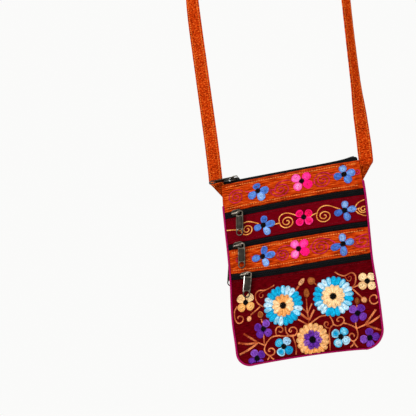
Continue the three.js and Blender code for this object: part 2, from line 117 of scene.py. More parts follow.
def set_stops(ramp_node, stops):
    """Give a colour ramp its stops, as pairs of place and hex colour."""
    elements = ramp_node.color_ramp.elements
    while len(elements) < len(stops):
        elements.new(0.5)
    for element, (place, colour) in zip(elements, stops):
        element.position = place
        element.color = linear(colour)
    return ramp_node.outputs["Color"]


def new_material(name):
    """A material with an empty principled shader, its tree and that shader."""
    material = bpy.data.materials.new(name)
    material.use_nodes = True
    return material, material.node_tree, material.node_tree.nodes["Principled BSDF"]


print("helpers ready")

# %% [markdown]
# A hanging bag needs no ground under it, but a pale floor well below it catches the light from the other
# sides. A bright, even world gives the soft white of a studio, and three large area lights model the
# cloth: a key from the upper left, a weaker fill from the right and one behind for the back.

# %% Floor, world and lights
FLOOR_Z = -1.5
FLOOR_SIDE = 6.0
LIGHTS = [
    {"name": "key", "at": (-1.5, -1.9, 0.7), "size": 1.3, "watts": 40},
    {"name": "fill", "at": (1.7, -1.5, -0.2), "size": 1.6, "watts": 14},
    {"name": "rear", "at": (0.4, 2.0, 0.6), "size": 1.6, "watts": 22},
]
LIGHT_AIM = Vector((0, 0, -0.62))
WORLD_LIGHT = {"colour": "#f4f4f3", "strength": 1.06}


def floor_material():
    """Matt white paper: a faint mottle keeps it from looking flat."""
    material, tree, shader = new_material("matt_white_paper")
    mottle = add(tree, "ShaderNodeTexNoise", {"Scale": 3.0, "Detail": 3.0})
    colour = set_stops(add(tree, "ShaderNodeValToRGB", {"Fac": mottle.outputs["Fac"]}),
                       [(0.35, "#e9e8e6"), (0.65, "#f1f0ee")])
    tree.links.new(colour, shader.inputs["Base Color"])
    shader.inputs["Roughness"].default_value = 0.9
    return material


half_side = FLOOR_SIDE / 2
floor_mesh = bpy.data.meshes.new("floor")
floor_mesh.from_pydata([(x, y, FLOOR_Z) for x, y in ((-half_side, -half_side), (half_side, -half_side),
                                                     (half_side, half_side), (-half_side, half_side))],
                       [], [(0, 1, 2, 3)])
floor_mesh.materials.append(floor_material())
floor = bpy.data.objects.new("floor", floor_mesh)
bpy.context.scene.collection.objects.link(floor)

world = bpy.data.worlds.new("studio")
world.use_nodes = True
background = world.node_tree.nodes["Background"]
background.inputs["Color"].default_value = linear(WORLD_LIGHT["colour"])
background.inputs["Strength"].default_value = WORLD_LIGHT["strength"]
bpy.context.scene.world = world
bpy.context.scene.view_settings.view_transform = "Standard"

for light in LIGHTS:
    lamp = bpy.data.lights.new(light["name"], "AREA")
    lamp.energy = light["watts"]
    lamp.size = light["size"]
    holder = bpy.data.objects.new(light["name"], lamp)
    holder.location = light["at"]
    holder.rotation_euler = (LIGHT_AIM - Vector(light["at"])).to_track_quat("-Z", "Y").to_euler()
    bpy.context.scene.collection.objects.link(holder)
print(f"floor at {FLOOR_Z} m and {len(LIGHTS)} area lights")

# %% [markdown]
# The orange cloth is hand-spun cotton in two or three oranges, plain-woven, so slubs of rust and of pale
# orange run along the weft and fine ribs cross it. The pattern reads the piece's own flat map, in metres
# on the cloth. The real ribs are about 0.7 mm apart, and are drawn at 1.5 mm so that they show.

# %% Woven cloth
CLOTH_MAP = "flat"
CLOUD = {"scale": 0.07, "share": 0.16}
WARP = {"finer": 1.4, "share": 0.35}
YARN_SHARE = 0.9
WEAVE_SHADE = {"low": 0.72, "high": 1.06}


def woven_cloth(name, stops, slub, rib, rib_depth, roughness, gloss, ends=None):
    """Cloth with slubs along the weft and ribs across it; slub is length and width in millimetres.

    A strip with ends gets painted shade there: they say how long it is and how far the painted shade reaches.
    """
    material, tree, shader = new_material(name)
    flat = add(tree, "ShaderNodeUVMap", uv_map=CLOTH_MAP).outputs["UV"]
    millimetres = add(tree, "ShaderNodeMapping", {"Vector": flat, "Scale": (1 / MM, 1 / MM, 1)}).outputs[0]
    yarn_space = add(tree, "ShaderNodeMapping",
                     {"Vector": millimetres, "Scale": (1 / slub[0], 1 / slub[1], 1)}).outputs[0]
    yarn = add(tree, "ShaderNodeTexNoise",
               {"Vector": yarn_space, "Scale": 1.0, "Detail": 3.0, "Roughness": 0.62}).outputs["Fac"]
    cloud = add(tree, "ShaderNodeTexNoise",
                {"Vector": millimetres, "Scale": CLOUD["scale"], "Detail": 2.0}).outputs["Fac"]
    shifted = add(tree, "ShaderNodeMath", {0: cloud, 1: CLOUD["share"], 2: yarn}, operation="MULTIPLY_ADD")
    centred = add(tree, "ShaderNodeMath", {0: shifted.outputs[0], 1: CLOUD["share"] / 2},
                  operation="SUBTRACT")
    colour = set_stops(add(tree, "ShaderNodeValToRGB", {"Fac": centred.outputs[0]}), stops)
    # A wave texture of scale 1 repeats every 2 pi / 20 of its vector.
    wave_scale = 2 * math.pi / (20 * rib)
    ribs = add(tree, "ShaderNodeTexWave",
               {"Vector": millimetres, "Scale": wave_scale, "Distortion": 1.2, "Detail": 1.0},
               bands_direction="Y").outputs["Fac"]
    warp = add(tree, "ShaderNodeTexWave",
               {"Vector": millimetres, "Scale": wave_scale * WARP["finer"], "Distortion": 0.8},
               bands_direction="X").outputs["Fac"]
    weave = add(tree, "ShaderNodeMath", {0: warp, 1: WARP["share"], 2: ribs},
                operation="MULTIPLY_ADD").outputs[0]
    height = add(tree, "ShaderNodeMath", {0: yarn, 1: YARN_SHARE, 2: weave},
                 operation="MULTIPLY_ADD").outputs[0]
    shade = add(tree, "ShaderNodeMapRange",
                {"Value": weave, "From Max": 1 + WARP["share"],
                 "To Min": WEAVE_SHADE["low"], "To Max": WEAVE_SHADE["high"]}).outputs[0]
    # Painted shade: the cloth is darkened near both ends of the strip, where the folded ears lie in shade.
    if ends:
        along = add(tree, "ShaderNodeSeparateXYZ", {0: millimetres}).outputs["Y"]
        from_end = add(tree, "ShaderNodeMath", {0: along, 1: ends["half_length"]}, operation="PINGPONG")
        dim = add(tree, "ShaderNodeMapRange",
                  {"Value": from_end.outputs[0], "From Min": ends["dark_to"],
                   "From Max": ends["light_from"], "To Min": ends["dim"]})
        shade = add(tree, "ShaderNodeMath", {0: shade, 1: dim.outputs[0]}, operation="MULTIPLY").outputs[0]
    tint = add(tree, "ShaderNodeMix", {0: 1.0, 6: colour, 7: shade}, data_type="RGBA", blend_type="MULTIPLY")
    bump = add(tree, "ShaderNodeBump", {"Height": height, "Distance": rib_depth * MM, "Strength": 0.8})
    tree.links.new(tint.outputs[2], shader.inputs["Base Color"])
    tree.links.new(bump.outputs["Normal"], shader.inputs["Normal"])
    shader.inputs["Roughness"].default_value = roughness
    shader.inputs["Specular IOR Level"].default_value = gloss
    return material


print("weaving ready")

# %% [markdown]
# Six cloths come from that one function. The strap is the orange cotton with shorter slubs, with painted shade
# at its folded ends. The maroon wool is finer and plainer, a little brighter on the narrow band than on the
# big panel. The magenta tape and the black tape of the zips are close, narrow weaves.

# %% The six cloths
ORANGE_STOPS = [(0.33, "#4e1002"), (0.43, "#8f2505"), (0.50, "#ba3306"), (0.58, "#cc440c"), (0.70, "#e37a2c")]
ORANGE_CLOTH = woven_cloth(
    "hand_woven_orange_cotton",
    ORANGE_STOPS, slub=(15.0, 1.3), rib=1.5, rib_depth=0.45, roughness=0.95, gloss=0.0)
# The half length is about 6 mm over half of the strap's run, so the painted shade reaches less far at its
# right end.
PAINTED_SHADE_AT_STRAP_ENDS = {"half_length": 637.5, "dark_to": 31.0, "light_from": 36.0, "dim": 0.52}
ORANGE_STRAP = woven_cloth(
    "hand_woven_orange_strap",
    ORANGE_STOPS, slub=(2.6, 1.7), rib=1.5, rib_depth=0.45, roughness=0.95, gloss=0.0, ends=PAINTED_SHADE_AT_STRAP_ENDS)
CRIMSON_CLOTH = woven_cloth(
    "maroon_wool_band",
    [(0.30, "#4c0007"), (0.50, "#62020d"), (0.72, "#780614")],
    slub=(7.0, 0.7), rib=1.4, rib_depth=0.25, roughness=0.95, gloss=0.0)
MAROON_CLOTH = woven_cloth(
    "maroon_wool_panel",
    [(0.32, "#340003"), (0.50, "#520107"), (0.68, "#6c060f")],
    slub=(7.0, 0.7), rib=1.4, rib_depth=0.25, roughness=0.95, gloss=0.0)
MAGENTA_TAPE = woven_cloth(
    "magenta_woven_tape",
    [(0.30, "#7e0a3c"), (0.50, "#a00f52"), (0.72, "#ba2468")],
    slub=(3.0, 1.0), rib=1.2, rib_depth=0.3, roughness=0.85, gloss=0.0)
ZIP_TAPE = woven_cloth(
    "black_woven_zip_tape",
    [(0.30, "#020304"), (0.50, "#06080a"), (0.72, "#0d1115")],
    slub=(2.0, 0.8), rib=1.1, rib_depth=0.2, roughness=0.6, gloss=0.06)
print("six woven cloths")

# %% [markdown]
# Embroidery floss is soft, loosely spun thread with a low gloss. Every stitch carries its own colour as
# an attribute, as each length of floss does, and a fine streak breaks the light as the plies do. Zip
# coil is extruded nylon, which is smooth and takes sharper highlights.

# %% Thread and nylon
FLOSS = "floss"


def floss_material():
    """Cotton floss: the stitch's own colour, streaked by its plies."""
    material, tree, shader = new_material("cotton_embroidery_floss")
    tone = add(tree, "ShaderNodeAttribute", attribute_name=FLOSS).outputs["Color"]
    spot = add(tree, "ShaderNodeTexCoord").outputs["Object"]
    ply = add(tree, "ShaderNodeTexNoise", {"Vector": spot, "Scale": 0.9 / MM, "Detail": 2.0}).outputs["Fac"]
    shade = add(tree, "ShaderNodeMapRange", {"Value": ply, "From Min": 0.3, "From Max": 0.7,
                                             "To Min": 0.86, "To Max": 1.1})
    tint = add(tree, "ShaderNodeMix", {0: 1.0, 6: tone, 7: shade.outputs[0]},
               data_type="RGBA", blend_type="MULTIPLY")
    bump = add(tree, "ShaderNodeBump", {"Height": ply, "Distance": 0.12 * MM, "Strength": 0.6})
    tree.links.new(tint.outputs[2], shader.inputs["Base Color"])
    tree.links.new(bump.outputs["Normal"], shader.inputs["Normal"])
    shader.inputs["Roughness"].default_value = 0.7
    shader.inputs["Specular IOR Level"].default_value = 0.06
    return material


def nylon_material():
    """Extruded black nylon: nearly black, with a satin gloss that varies a little."""
    material, tree, shader = new_material("black_nylon_coil")
    spot = add(tree, "ShaderNodeTexCoord").outputs["Object"]
    wear = add(tree, "ShaderNodeTexNoise",
               {"Vector": spot, "Scale": 0.15 / MM, "Detail": 2.0}).outputs["Fac"]
    colour = set_stops(add(tree, "ShaderNodeValToRGB", {"Fac": wear}),
                       [(0.35, "#030506"), (0.65, "#090d10")])
    gloss = add(tree, "ShaderNodeMapRange", {"Value": wear, "To Min": 0.4, "To Max": 0.6})
    tree.links.new(colour, shader.inputs["Base Color"])
    tree.links.new(gloss.outputs[0], shader.inputs["Roughness"])
    shader.inputs["Specular IOR Level"].default_value = 0.1
    return material


FLOSS_THREAD = floss_material()
NYLON = nylon_material()
print("floss and nylon")

# %% [markdown]
# Sliders and pulls are cast zinc with a black nickel plate: dark, warm grey metal with a soft polish.
# Plating is even, but handling polishes it in patches, so a noise moves the roughness and the colour. Four
# finishes come from one function: the plate itself, the darker plate in hollows that no finger reaches,
# a lighter plate on the crowns that is a painted highlight, and a pale strip on one pull's edge that is a
# painted highlight too.

# %% Plated metal
POLISH_RANGE = 0.24


def gunmetal_material(name, stops, polish):
    """Black nickel plate on cast zinc, polished in patches by handling."""
    material, tree, shader = new_material(name)
    spot = add(tree, "ShaderNodeTexCoord").outputs["Object"]
    patch = add(tree, "ShaderNodeTexNoise",
                {"Vector": spot, "Scale": 0.22 / MM, "Detail": 4.0}).outputs["Fac"]
    grain = add(tree, "ShaderNodeTexNoise",
                {"Vector": spot, "Scale": 1.8 / MM, "Detail": 2.0}).outputs["Fac"]
    colour = set_stops(add(tree, "ShaderNodeValToRGB", {"Fac": patch}), stops)
    gloss = add(tree, "ShaderNodeMapRange",
                {"Value": patch, "To Min": polish, "To Max": polish + POLISH_RANGE})
    bump = add(tree, "ShaderNodeBump", {"Height": grain, "Distance": 0.04 * MM, "Strength": 0.4})
    tree.links.new(colour, shader.inputs["Base Color"])
    tree.links.new(gloss.outputs[0], shader.inputs["Roughness"])
    tree.links.new(bump.outputs["Normal"], shader.inputs["Normal"])
    shader.inputs["Metallic"].default_value = 1.0
    return material


GUNMETAL = gunmetal_material("black_nickel_plated_zinc",
                             [(0.30, "#28241f"), (0.55, "#3a352e"), (0.75, "#6a6359")], 0.22)
SUNKEN = gunmetal_material("black_nickel_in_the_recess",
                           [(0.30, "#1b1916"), (0.55, "#26231e"), (0.75, "#36322b")], 0.34)
# Painted highlight: the crowns take a lighter copy of the plate, so that they look lit.
CROWN_HIGHLIGHT_METAL = gunmetal_material("nickel_with_painted_highlight_on_the_crown",
                                [(0.30, "#3a352f"), (0.55, "#69635a"), (0.75, "#b2aca2")], 0.14)
# Painted highlight: a pale metal for the strip along one pull's left edge.
PAINTED_HIGHLIGHT_METAL = gunmetal_material("pale_metal_painted_highlight",
                                 [(0.30, "#a8a399"), (0.55, "#d4d0c8"), (0.75, "#f0ede8")], 0.25)
print("four finishes of plated metal")

# %% [markdown]
# The pouch is a lens: two walls that meet at the side seams and stand apart in the middle. Short tables
# give its half width and depth, in millimetres, at a few drops below the top edge. One more table gives
# each zip's height, how wide its slot is, its sag, how far its left end is drawn up, and how far the hems
# above and below fold over it.

# %% Measures of the pouch
GAP, CLOTH, BAG_HEIGHT = 0.3, 1.6, 238.3
CORNER_DROP, CORNER_RADIUS = {-1: 240.3, 1: 241.2}, {-1: 17.0, 1: 23.0}
LENS_POWER, BAND_PUFF = 2.3, 0.8
SIDE = {-1: "left", 1: "right"}


def table(keys, *rows):
    """A list of rows whose values can be asked for by name."""
    return [dict(zip(keys.split(), row)) for row in rows]


OUTLINE = table(
    "drop left right",
    (0, 91.4, 90.6),
    (45, 92.3, 93.2),
    (100, 91.5, 92.4),
    (130, 91.6, 91.8),
    (182, 93.6, 94.2),
    (215, 92.0, 94.2),
    (CORNER_DROP[1], 91.4, 93.8),
)
DEPTH = table(
    "drop front back seam",
    (0, 1.8, 1.8, 1.3),
    (16, 4.0, 3.0, 1.3),
    (31, 5.6, 3.8, 1.3),
    (48, 6.9, 4.4, 0.35),
    (85, 8.0, 5.0, 0.3),
    (130, 8.2, 5.0, 0.3),
    (180, 7.6, 4.6, 0.3),
    (212, 5.4, 3.4, 0.3),
    (230, 2.3, 1.6, 0.3),
    (BAG_HEIGHT, 0.3, 0.2, 0.3),
    (CORNER_DROP[1], 0.0, 0.0, 0.3),
)
ZIPS = {
    "upper": {"face": "front", "drop": 42.8, "slot": 9.5, "sag": 0.0, "rise": 0.0,
              "fold": {-1: 1.0, 1: 0.0}},
    "middle": {"face": "front", "drop": 85.7, "slot": 8.2, "sag": 0.4, "rise": 0.0,
               "fold": {-1: 0.3, 1: 0.3}},
    "lower": {"face": "front", "drop": 127.4, "slot": 9.0, "sag": 2.0, "rise": 3.0,
              "fold": {-1: 0.4, 1: 0.2}},
    "back": {"face": "back", "drop": 104.0, "slot": 8.2, "sag": 0.5, "rise": 0.0,
             "fold": {-1: 0.0, 1: 0.0}},
}
print(f"{len(OUTLINE)} rows of width, {len(DEPTH)} of depth and {len(ZIPS)} zips")

# %% [markdown]
# A table holds only a few rows, so a smooth curve is drawn through each of its columns. Small functions
# then answer what later cells ask: how wide the cloth is at some drop, how far a wall stands out there, and
# where that point is in metres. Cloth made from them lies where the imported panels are, with many more faces.

# %% The shape of the pouch
DRAWN_FROM, WIDEST_DROP = 0.25, 182


def smooth_curve(at, values):
    """A smooth curve through a few values: its slope at each is the mean of the slopes beside it."""
    at, values = np.asarray(at, float), np.asarray(values, float)
    slopes = np.diff(values) / np.diff(at)
    tangents = np.concatenate([slopes[:1], (slopes[:-1] + slopes[1:]) / 2, slopes[-1:]])

    def curve(t):
        t = np.clip(np.asarray(t, float), at[0], at[-1])
        i = np.clip(np.searchsorted(at, t, side="right") - 1, 0, len(at) - 2)
        step = at[i + 1] - at[i]
        p = (t - at[i]) / step
        rise = (3 - 2 * p) * p * p
        bend = tangents[i] * p * (1 - p) ** 2 - tangents[i + 1] * p * p * (1 - p)
        return values[i] * (1 - rise) + values[i + 1] * rise + step * bend

    return curve


def column(rows, key, value):
    """The curve through one column of a table."""
    return smooth_curve([row[key] for row in rows], [row[value] for row in rows])


EDGE = {side: column(OUTLINE, "drop", name) for side, name in SIDE.items()}
WALL_DEPTH = {face: column(DEPTH, "drop", face) for face in ("front", "back")}
SEAM_DEPTH = column(DEPTH, "drop", "seam")


def half_width(side, drop):
    """Half width of the cloth on one side, with the bottom corner rounded off."""
    drop = np.asarray(drop, float)
    radius = CORNER_RADIUS[side]
    below = np.clip(drop - (CORNER_DROP[side] - radius), 0, radius)
    return EDGE[side](drop) - radius + np.sqrt(radius ** 2 - below ** 2)


def width_at(x, drop):
    """Half width of the cloth on the side that x, or a share, is on."""
    return np.where(np.asarray(x) < 0, half_width(-1, drop), half_width(1, drop))


def share_at(x, drop):
    """Share of the half width, from -1 at the left seam to 1 at the right seam."""
    return np.clip(x / width_at(x, drop), -1, 1)


def slot_drop(zip_row, share):
    """Drop of a zip's middle line, which sags in the middle and may be drawn up at its left end."""
    share = np.asarray(share, float)
    drawn_up = zip_row["rise"] * np.clip((-share - DRAWN_FROM) / (1 - DRAWN_FROM), 0, None) ** 2
    return zip_row["drop"] + zip_row["sag"] * (1 - share ** 2) - drawn_up


def bottom_edge(share):
    """Drop of the bottom edge, which hangs a little lower at the corners than between them."""
    lowest = np.where(np.asarray(share) < 0, CORNER_DROP[-1], CORNER_DROP[1])
    return BAG_HEIGHT + (lowest - BAG_HEIGHT) * np.asarray(share) ** 2


def inner_depth(face, share, drop):
    """Distance from the seam plane to the inner face of a wall."""
    share, drop = np.asarray(share, float), np.asarray(drop, float)
    lens = 1 - np.abs(share) ** LENS_POWER
    depth = SEAM_DEPTH(drop) + np.maximum(WALL_DEPTH[face](drop), 0) * lens
    if face == "front":
        lines = [0.0, ZIPS["upper"]["drop"], ZIPS["middle"]["drop"], slot_drop(ZIPS["lower"], share)]
        for top, bottom in zip(lines[:-1], lines[1:]):
            across = np.clip((drop - top) / (bottom - top), 0, 1)
            depth = depth + BAND_PUFF * np.sin(np.pi * across) ** 2 * (1 - share ** 4)
    return depth


def place(x, out, drop, face="front"):
    """Points in metres from x, the distance out of the seam plane and the drop, in millimetres."""
    x, out, drop = np.broadcast_arrays(x, out, drop)
    side = -1 if face == "front" else 1
    return np.stack([x * MM, side * out * MM, TOP_EDGE - drop * MM], axis=-1)


widest = sum(half_width(side, WIDEST_DROP) for side in (-1, 1))
print(f"pouch {widest:.0f} mm wide and {BAG_HEIGHT:.0f} mm tall")

# %% [markdown]
# Where cloth meets a zip its cut edge is folded under and sewn down. That gives a soft rounded edge, a
# slightly thicker hem, a sunken line where the thread pulls, and small puckers beside it. A function of
# the distance from the edge makes all four, so cloth and stitches agree about where the surface is. Each
# hem also folds a little over the zip beside it, and the front's top hem lies just below the mouth, so
# that the zip at the mouth shows above it.

# %% Hems and puckers
HEM = {"thick": 0.3, "soft": 0.25, "groove": 0.5, "groove_half": 0.6, "round": 0.9, "least": 0.12}
HEM_WIDTH = {"top_band": 4.4, "middle_band": 2.6, "lower_band": 4.2, "front_panel": 2.6,
             "back_upper_panel": 3.0, "back_lower_panel": 3.0}
PUCKER = {"height": 0.22, "length": 6.3, "reach": 7.0, "past": 1.5, "wander": 1.7, "wander_over": 23.0}
SLACK = {"height": 0.35, "length": 47.0, "slant": 0.6, "down": 11.0, "across": 61.0, "clear": 4}
MOUTH_FOLD = {"drop": 0.9, "right": 0.8, "from": 0.55, "over": 0.4}


def slot_half(zip_row, side):
    """How far a slot opens above (-1) or below (1) its zip, less what the folded hem takes."""
    return zip_row["slot"] / 2 - zip_row["fold"][side]


def slot_edge(name, side):
    """The edge of the cloth above (-1) or below (1) a zip."""
    return lambda share: slot_drop(ZIPS[name], share) + side * slot_half(ZIPS[name], side)


def top_edge(share):
    """The back's top edge, which is the mouth itself."""
    return 0 * np.asarray(share)


def mouth_hem(share):
    """The front's top edge, folded a little below the mouth and lower still by the zip's right end."""
    lower_by = np.clip((np.asarray(share) - MOUTH_FOLD["from"]) / MOUTH_FOLD["over"], 0, 1)
    return MOUTH_FOLD["drop"] + MOUTH_FOLD["right"] * lower_by


LINES = {
    "top_band": (mouth_hem, slot_edge("upper", -1)),
    "middle_band": (slot_edge("upper", 1), slot_edge("middle", -1)),
    "lower_band": (slot_edge("middle", 1), slot_edge("lower", -1)),
    "front_panel": (slot_edge("lower", 1), bottom_edge),
    "back_upper_panel": (top_edge, slot_edge("back", -1)),
    "back_lower_panel": (slot_edge("back", 1), bottom_edge),
}


def hem_edges(panel):
    """Which of a panel's two edges are hemmed: the bottom edge is under the binding instead."""
    return (True, not panel.endswith("panel") or panel == "back_upper_panel")


def cloth_lift(panel, x, share, drop):
    """Height of the outer face of the cloth above the wall's inner face."""
    upper, lower = LINES[panel]
    from_edges = (drop - upper(share), lower(share) - drop)
    distances = [d for d, hemmed in zip(from_edges, hem_edges(panel)) if hemmed]
    lift = np.full(np.shape(drop), CLOTH)
    width = HEM_WIDTH[panel]
    for d in distances:
        d = np.maximum(d, 0)
        fold = np.clip(d / HEM["round"], 0, 1)
        edge = np.sqrt(1 - (1 - fold) ** 2)
        hem = HEM["thick"] / (1 + np.exp((d - width) / HEM["soft"]))
        groove = HEM["groove"] * np.exp(-((d - width) / HEM["groove_half"]) ** 2)
        wander = PUCKER["wander"] * np.sin(x / PUCKER["wander_over"])
        ripple = np.sin(2 * np.pi * x / PUCKER["length"] + wander)
        pucker = PUCKER["height"] * ripple * np.exp(-((d - width - PUCKER["past"]) / PUCKER["reach"]) ** 2)
        lift = (lift + hem - groove + pucker * fold) * (HEM["least"] + (1 - HEM["least"]) * edge)
    slack = np.sin(2 * np.pi * (x + SLACK["slant"] * drop) / SLACK["length"])
    slack = slack * np.sin(drop / SLACK["down"] + x / SLACK["across"])
    clear = np.min(distances, axis=0) > SLACK["clear"]
    return lift + SLACK["height"] * slack * (1 - np.abs(share)) * clear


print("hems", ", ".join(f"{name}: {sum(hem_edges(name))}" for name in LINES))

# %% [markdown]
# A cloth wall is two grids of points, its outer and its inner face, joined all round into one closed
# sheet. Each point also keeps its place on the flat cloth as a UV, in metres, so that the weave runs along
# the cloth wherever the cloth goes.

# %% Closed sheets
def closed_sheet(name, outer, inner, flat, material):
    """An object made of two grids of points that share rows and columns, closed at all four sides."""
    rows, cols = outer.shape[:2]
    o, n = np.arange(2 * rows * cols).reshape(2, rows, cols)
    strips = [(o[:-1, :-1], o[1:, :-1], o[1:, 1:], o[:-1, 1:]),
              (n[:-1, :-1], n[:-1, 1:], n[1:, 1:], n[1:, :-1]),
              (o[:-1, 0], n[:-1, 0], n[1:, 0], o[1:, 0]), (o[:-1, -1], o[1:, -1], n[1:, -1], n[:-1, -1]),
              (o[0, :-1], o[0, 1:], n[0, 1:], n[0, :-1]), (o[-1, :-1], n[-1, :-1], n[-1, 1:], o[-1, 1:])]
    faces = np.concatenate([np.stack([corner.ravel() for corner in strip], axis=1) for strip in strips])
    points = np.concatenate([outer.reshape(-1, 3), inner.reshape(-1, 3)])
    return new_piece(name, points, faces, material, np.tile(flat.reshape(-1, 2), (2, 1)))


def new_piece(name, points, faces, material, flat=None):
    """A smooth mesh object with its normals facing out, and its flat map if it has one."""
    mesh = bpy.data.meshes.new(name)
    mesh.from_pydata([tuple(p) for p in points], [], [tuple(int(i) for i in face) for face in faces])
    shell = bmesh.new()
    shell.from_mesh(mesh)
    bmesh.ops.recalc_face_normals(shell, faces=shell.faces)
    shell.to_mesh(mesh)
    shell.free()
    if flat is not None:
        corner = np.empty(len(mesh.loops), int)
        mesh.loops.foreach_get("vertex_index", corner)
        mesh.uv_layers.new(name=CLOTH_MAP).data.foreach_set("uv", flat[corner].ravel())
    mesh.shade_smooth()
    mesh.materials.append(material)
    piece = bpy.data.objects.new(name, mesh)
    bpy.context.scene.collection.objects.link(piece)
    return piece


print("sheet tools ready")

# %% [markdown]
# The walls are cut from three cloths: flecked orange for two bands, a brighter maroon for the band between
# them, and maroon for the big panel and the back. One function lays all six. Its rows run from a panel's
# upper line to its lower line, and they crowd near the hems and the seams, where the cloth bends most.

# %% The six cloth walls
WALLS = {
    "top_band": {"material": ORANGE_CLOTH, "slot": "orange_cloth", "rows": 44},
    "middle_band": {"material": CRIMSON_CLOTH, "slot": "maroon_cloth", "rows": 44},
    "lower_band": {"material": ORANGE_CLOTH, "slot": "orange_cloth", "rows": 44},
    "front_panel": {"material": MAROON_CLOTH, "slot": "maroon_cloth", "rows": 90},
    "back_upper_panel": {"material": MAROON_CLOTH, "slot": "maroon_cloth", "rows": 70},
    "back_lower_panel": {"material": MAROON_CLOTH, "slot": "maroon_cloth", "rows": 90},
}
COLUMNS, CROWDING = 150, 0.8


def cloth_wall(panel):
    """One panel of cloth, with rows crowded to its edges and columns to the seams."""
    face = "back" if panel.startswith("back") else "front"
    upper, lower = LINES[panel]
    v = np.linspace(0, 1, WALLS[panel]["rows"] + 1)
    ease = v - CROWDING * np.sin(2 * np.pi * v) / (2 * np.pi)
    share, ease = np.meshgrid(np.sin(np.pi * (np.linspace(0, 1, COLUMNS + 1) - 0.5)), ease)
    drop = upper(share) * (1 - ease) + lower(share) * ease
    x = share * width_at(share, drop)
    depth = inner_depth(face, share, drop)
    outer = place(x, depth + cloth_lift(panel, x, share, drop), drop, face)
    inner = place(x, depth, drop, face)
    flat = np.stack([x, -drop], axis=-1) * MM
    return closed_sheet(panel + "_cloth", outer, inner, flat, WALLS[panel]["material"])


cloth_pieces = {panel: cloth_wall(panel) for panel in WALLS}
for panel, piece in cloth_pieces.items():
    print(f"{piece.name}: {len(piece.data.polygons)} faces")

# %% [markdown]
# Every stitch is a short length of thread that lies on the cloth, thick in the middle and drawn in at both
# ends. A geometry tree makes one such strand and sets it on every guide point: the guide says which way
# the stitch runs, which way the cloth faces and how thick the thread is. Laying thousands of strands this
# way keeps the design as data, and one tree serves the embroidery, the sewing and the zip coils.

# %% The strand tree
GUIDE_FIELDS = {"run": ("FLOAT_VECTOR", "vector"), "facing": ("FLOAT_VECTOR", "vector"),
                "girth": ("FLOAT", "value"), FLOSS: ("FLOAT_COLOR", "color")}
SHAPING = ("run", "facing", "girth")


def strand_tree():
    """A geometry tree that lays one strand on each guide point."""
    tree = bpy.data.node_groups.new("laid_strands", "GeometryNodeTree")
    tree.interface.new_socket("Guides", in_out="INPUT", socket_type="NodeSocketGeometry")
    for name, kind, value in (("Sides", "NodeSocketInt", 6), ("Rings", "NodeSocketInt", 5),
                              ("Flatness", "NodeSocketFloat", 0.75)):
        tree.interface.new_socket(name, in_out="INPUT", socket_type=kind).default_value = value
    tree.interface.new_socket("Thread", in_out="INPUT", socket_type="NodeSocketMaterial")
    tree.interface.new_socket("Strands", in_out="OUTPUT", socket_type="NodeSocketGeometry")
    given = add(tree, "NodeGroupInput").outputs
    run, facing, girth = (
        add(tree, "GeometryNodeInputNamedAttribute", {"Name": name},
            data_type=GUIDE_FIELDS[name][0]).outputs[0] for name in SHAPING)
    strand = add(tree, "GeometryNodeMeshUVSphere",
                 {"Segments": given["Sides"], "Rings": given["Rings"], "Radius": 0.5}).outputs["Mesh"]
    smooth = add(tree, "GeometryNodeSetShadeSmooth", {"Geometry": strand}).outputs[0]
    along = add(tree, "FunctionNodeAlignRotationToVector", {"Vector": run}, axis="Z").outputs[0]
    faced = add(tree, "FunctionNodeAlignRotationToVector", {"Rotation": along, "Vector": facing},
                axis="Y", pivot_axis="Z").outputs[0]
    length = add(tree, "ShaderNodeVectorMath", {0: run}, operation="LENGTH").outputs["Value"]
    height = add(tree, "ShaderNodeMath", {0: girth, 1: given["Flatness"]}, operation="MULTIPLY").outputs[0]
    size = add(tree, "ShaderNodeCombineXYZ", {"X": girth, "Y": height, "Z": length}).outputs[0]
    laid = add(tree, "GeometryNodeInstanceOnPoints",
               {"Points": given["Guides"], "Instance": smooth, "Rotation": faced, "Scale": size}).outputs[0]
    real = add(tree, "GeometryNodeRealizeInstances", {"Geometry": laid}).outputs[0]
    threaded = add(tree, "GeometryNodeSetMaterial", {"Geometry": real, "Material": given["Thread"]})
    add(tree, "NodeGroupOutput", {"Strands": threaded.outputs[0]})
    return tree


STRANDS = strand_tree()
SOCKET = {item.name: item.identifier for item in STRANDS.interface.items_tree if item.in_out == "INPUT"}


def lay_strands(name, guides, material, **sizes):
    """Run the tree on a set of guides and keep the result as a plain mesh object."""
    middle, *columns = (np.asarray(values, float) for values in guides)
    mesh = bpy.data.meshes.new(name + "_guides")
    mesh.from_pydata(middle.tolist(), [], [])
    for (key, (kind, field)), values in zip(GUIDE_FIELDS.items(), columns):
        mesh.attributes.new(key, kind, "POINT").data.foreach_set(field, values.ravel())
    source = bpy.data.objects.new(name + "_guides", mesh)
    bpy.context.scene.collection.objects.link(source)
    modifier = source.modifiers.new("laid_strands", "NODES")
    modifier.node_group = STRANDS
    for key, value in {"Thread": material, **sizes}.items():
        modifier[SOCKET[key]] = value
    result = bpy.data.meshes.new_from_object(source.evaluated_get(bpy.context.evaluated_depsgraph_get()))
    bpy.data.objects.remove(source)
    bpy.data.meshes.remove(mesh)
    for spare in SHAPING:
        result.attributes.remove(result.attributes[spare])
    result.name = name
    piece = bpy.data.objects.new(name, result)
    bpy.context.scene.collection.objects.link(piece)
    print(f"{name}: {len(middle)} strands, {len(result.polygons)} faces")
    return piece


# %% [markdown]
# The design is drawn on the flat cloth: x to the right of the middle and a drop below the top edge, in
# millimetres. Everything in it is a row of short stitches along a path, and a stem is one or more such rows
# side by side. A seeded draw shifts each stitch's colour a little, as hand-dyed floss does.

# %% Drawing with thread
GIRTH, STITCH, JITTER, FINE_STEP = 1.0, 2.3, 0.19, 0.2
PITCH = 0.9 * GIRTH
ROW = {"pitch": 0.86, "slant": 0.12, "lighter": 0.12, "wave": 0.55}
draw = np.random.default_rng(11)


def mix(tones, share):
    """A colour between two hex values, as linear RGB."""
    first, last = (np.array(linear(tone)[:3]) for tone in tones)
    share = np.asarray(share, float)[..., None]
    return first * (1 - share) + last * share


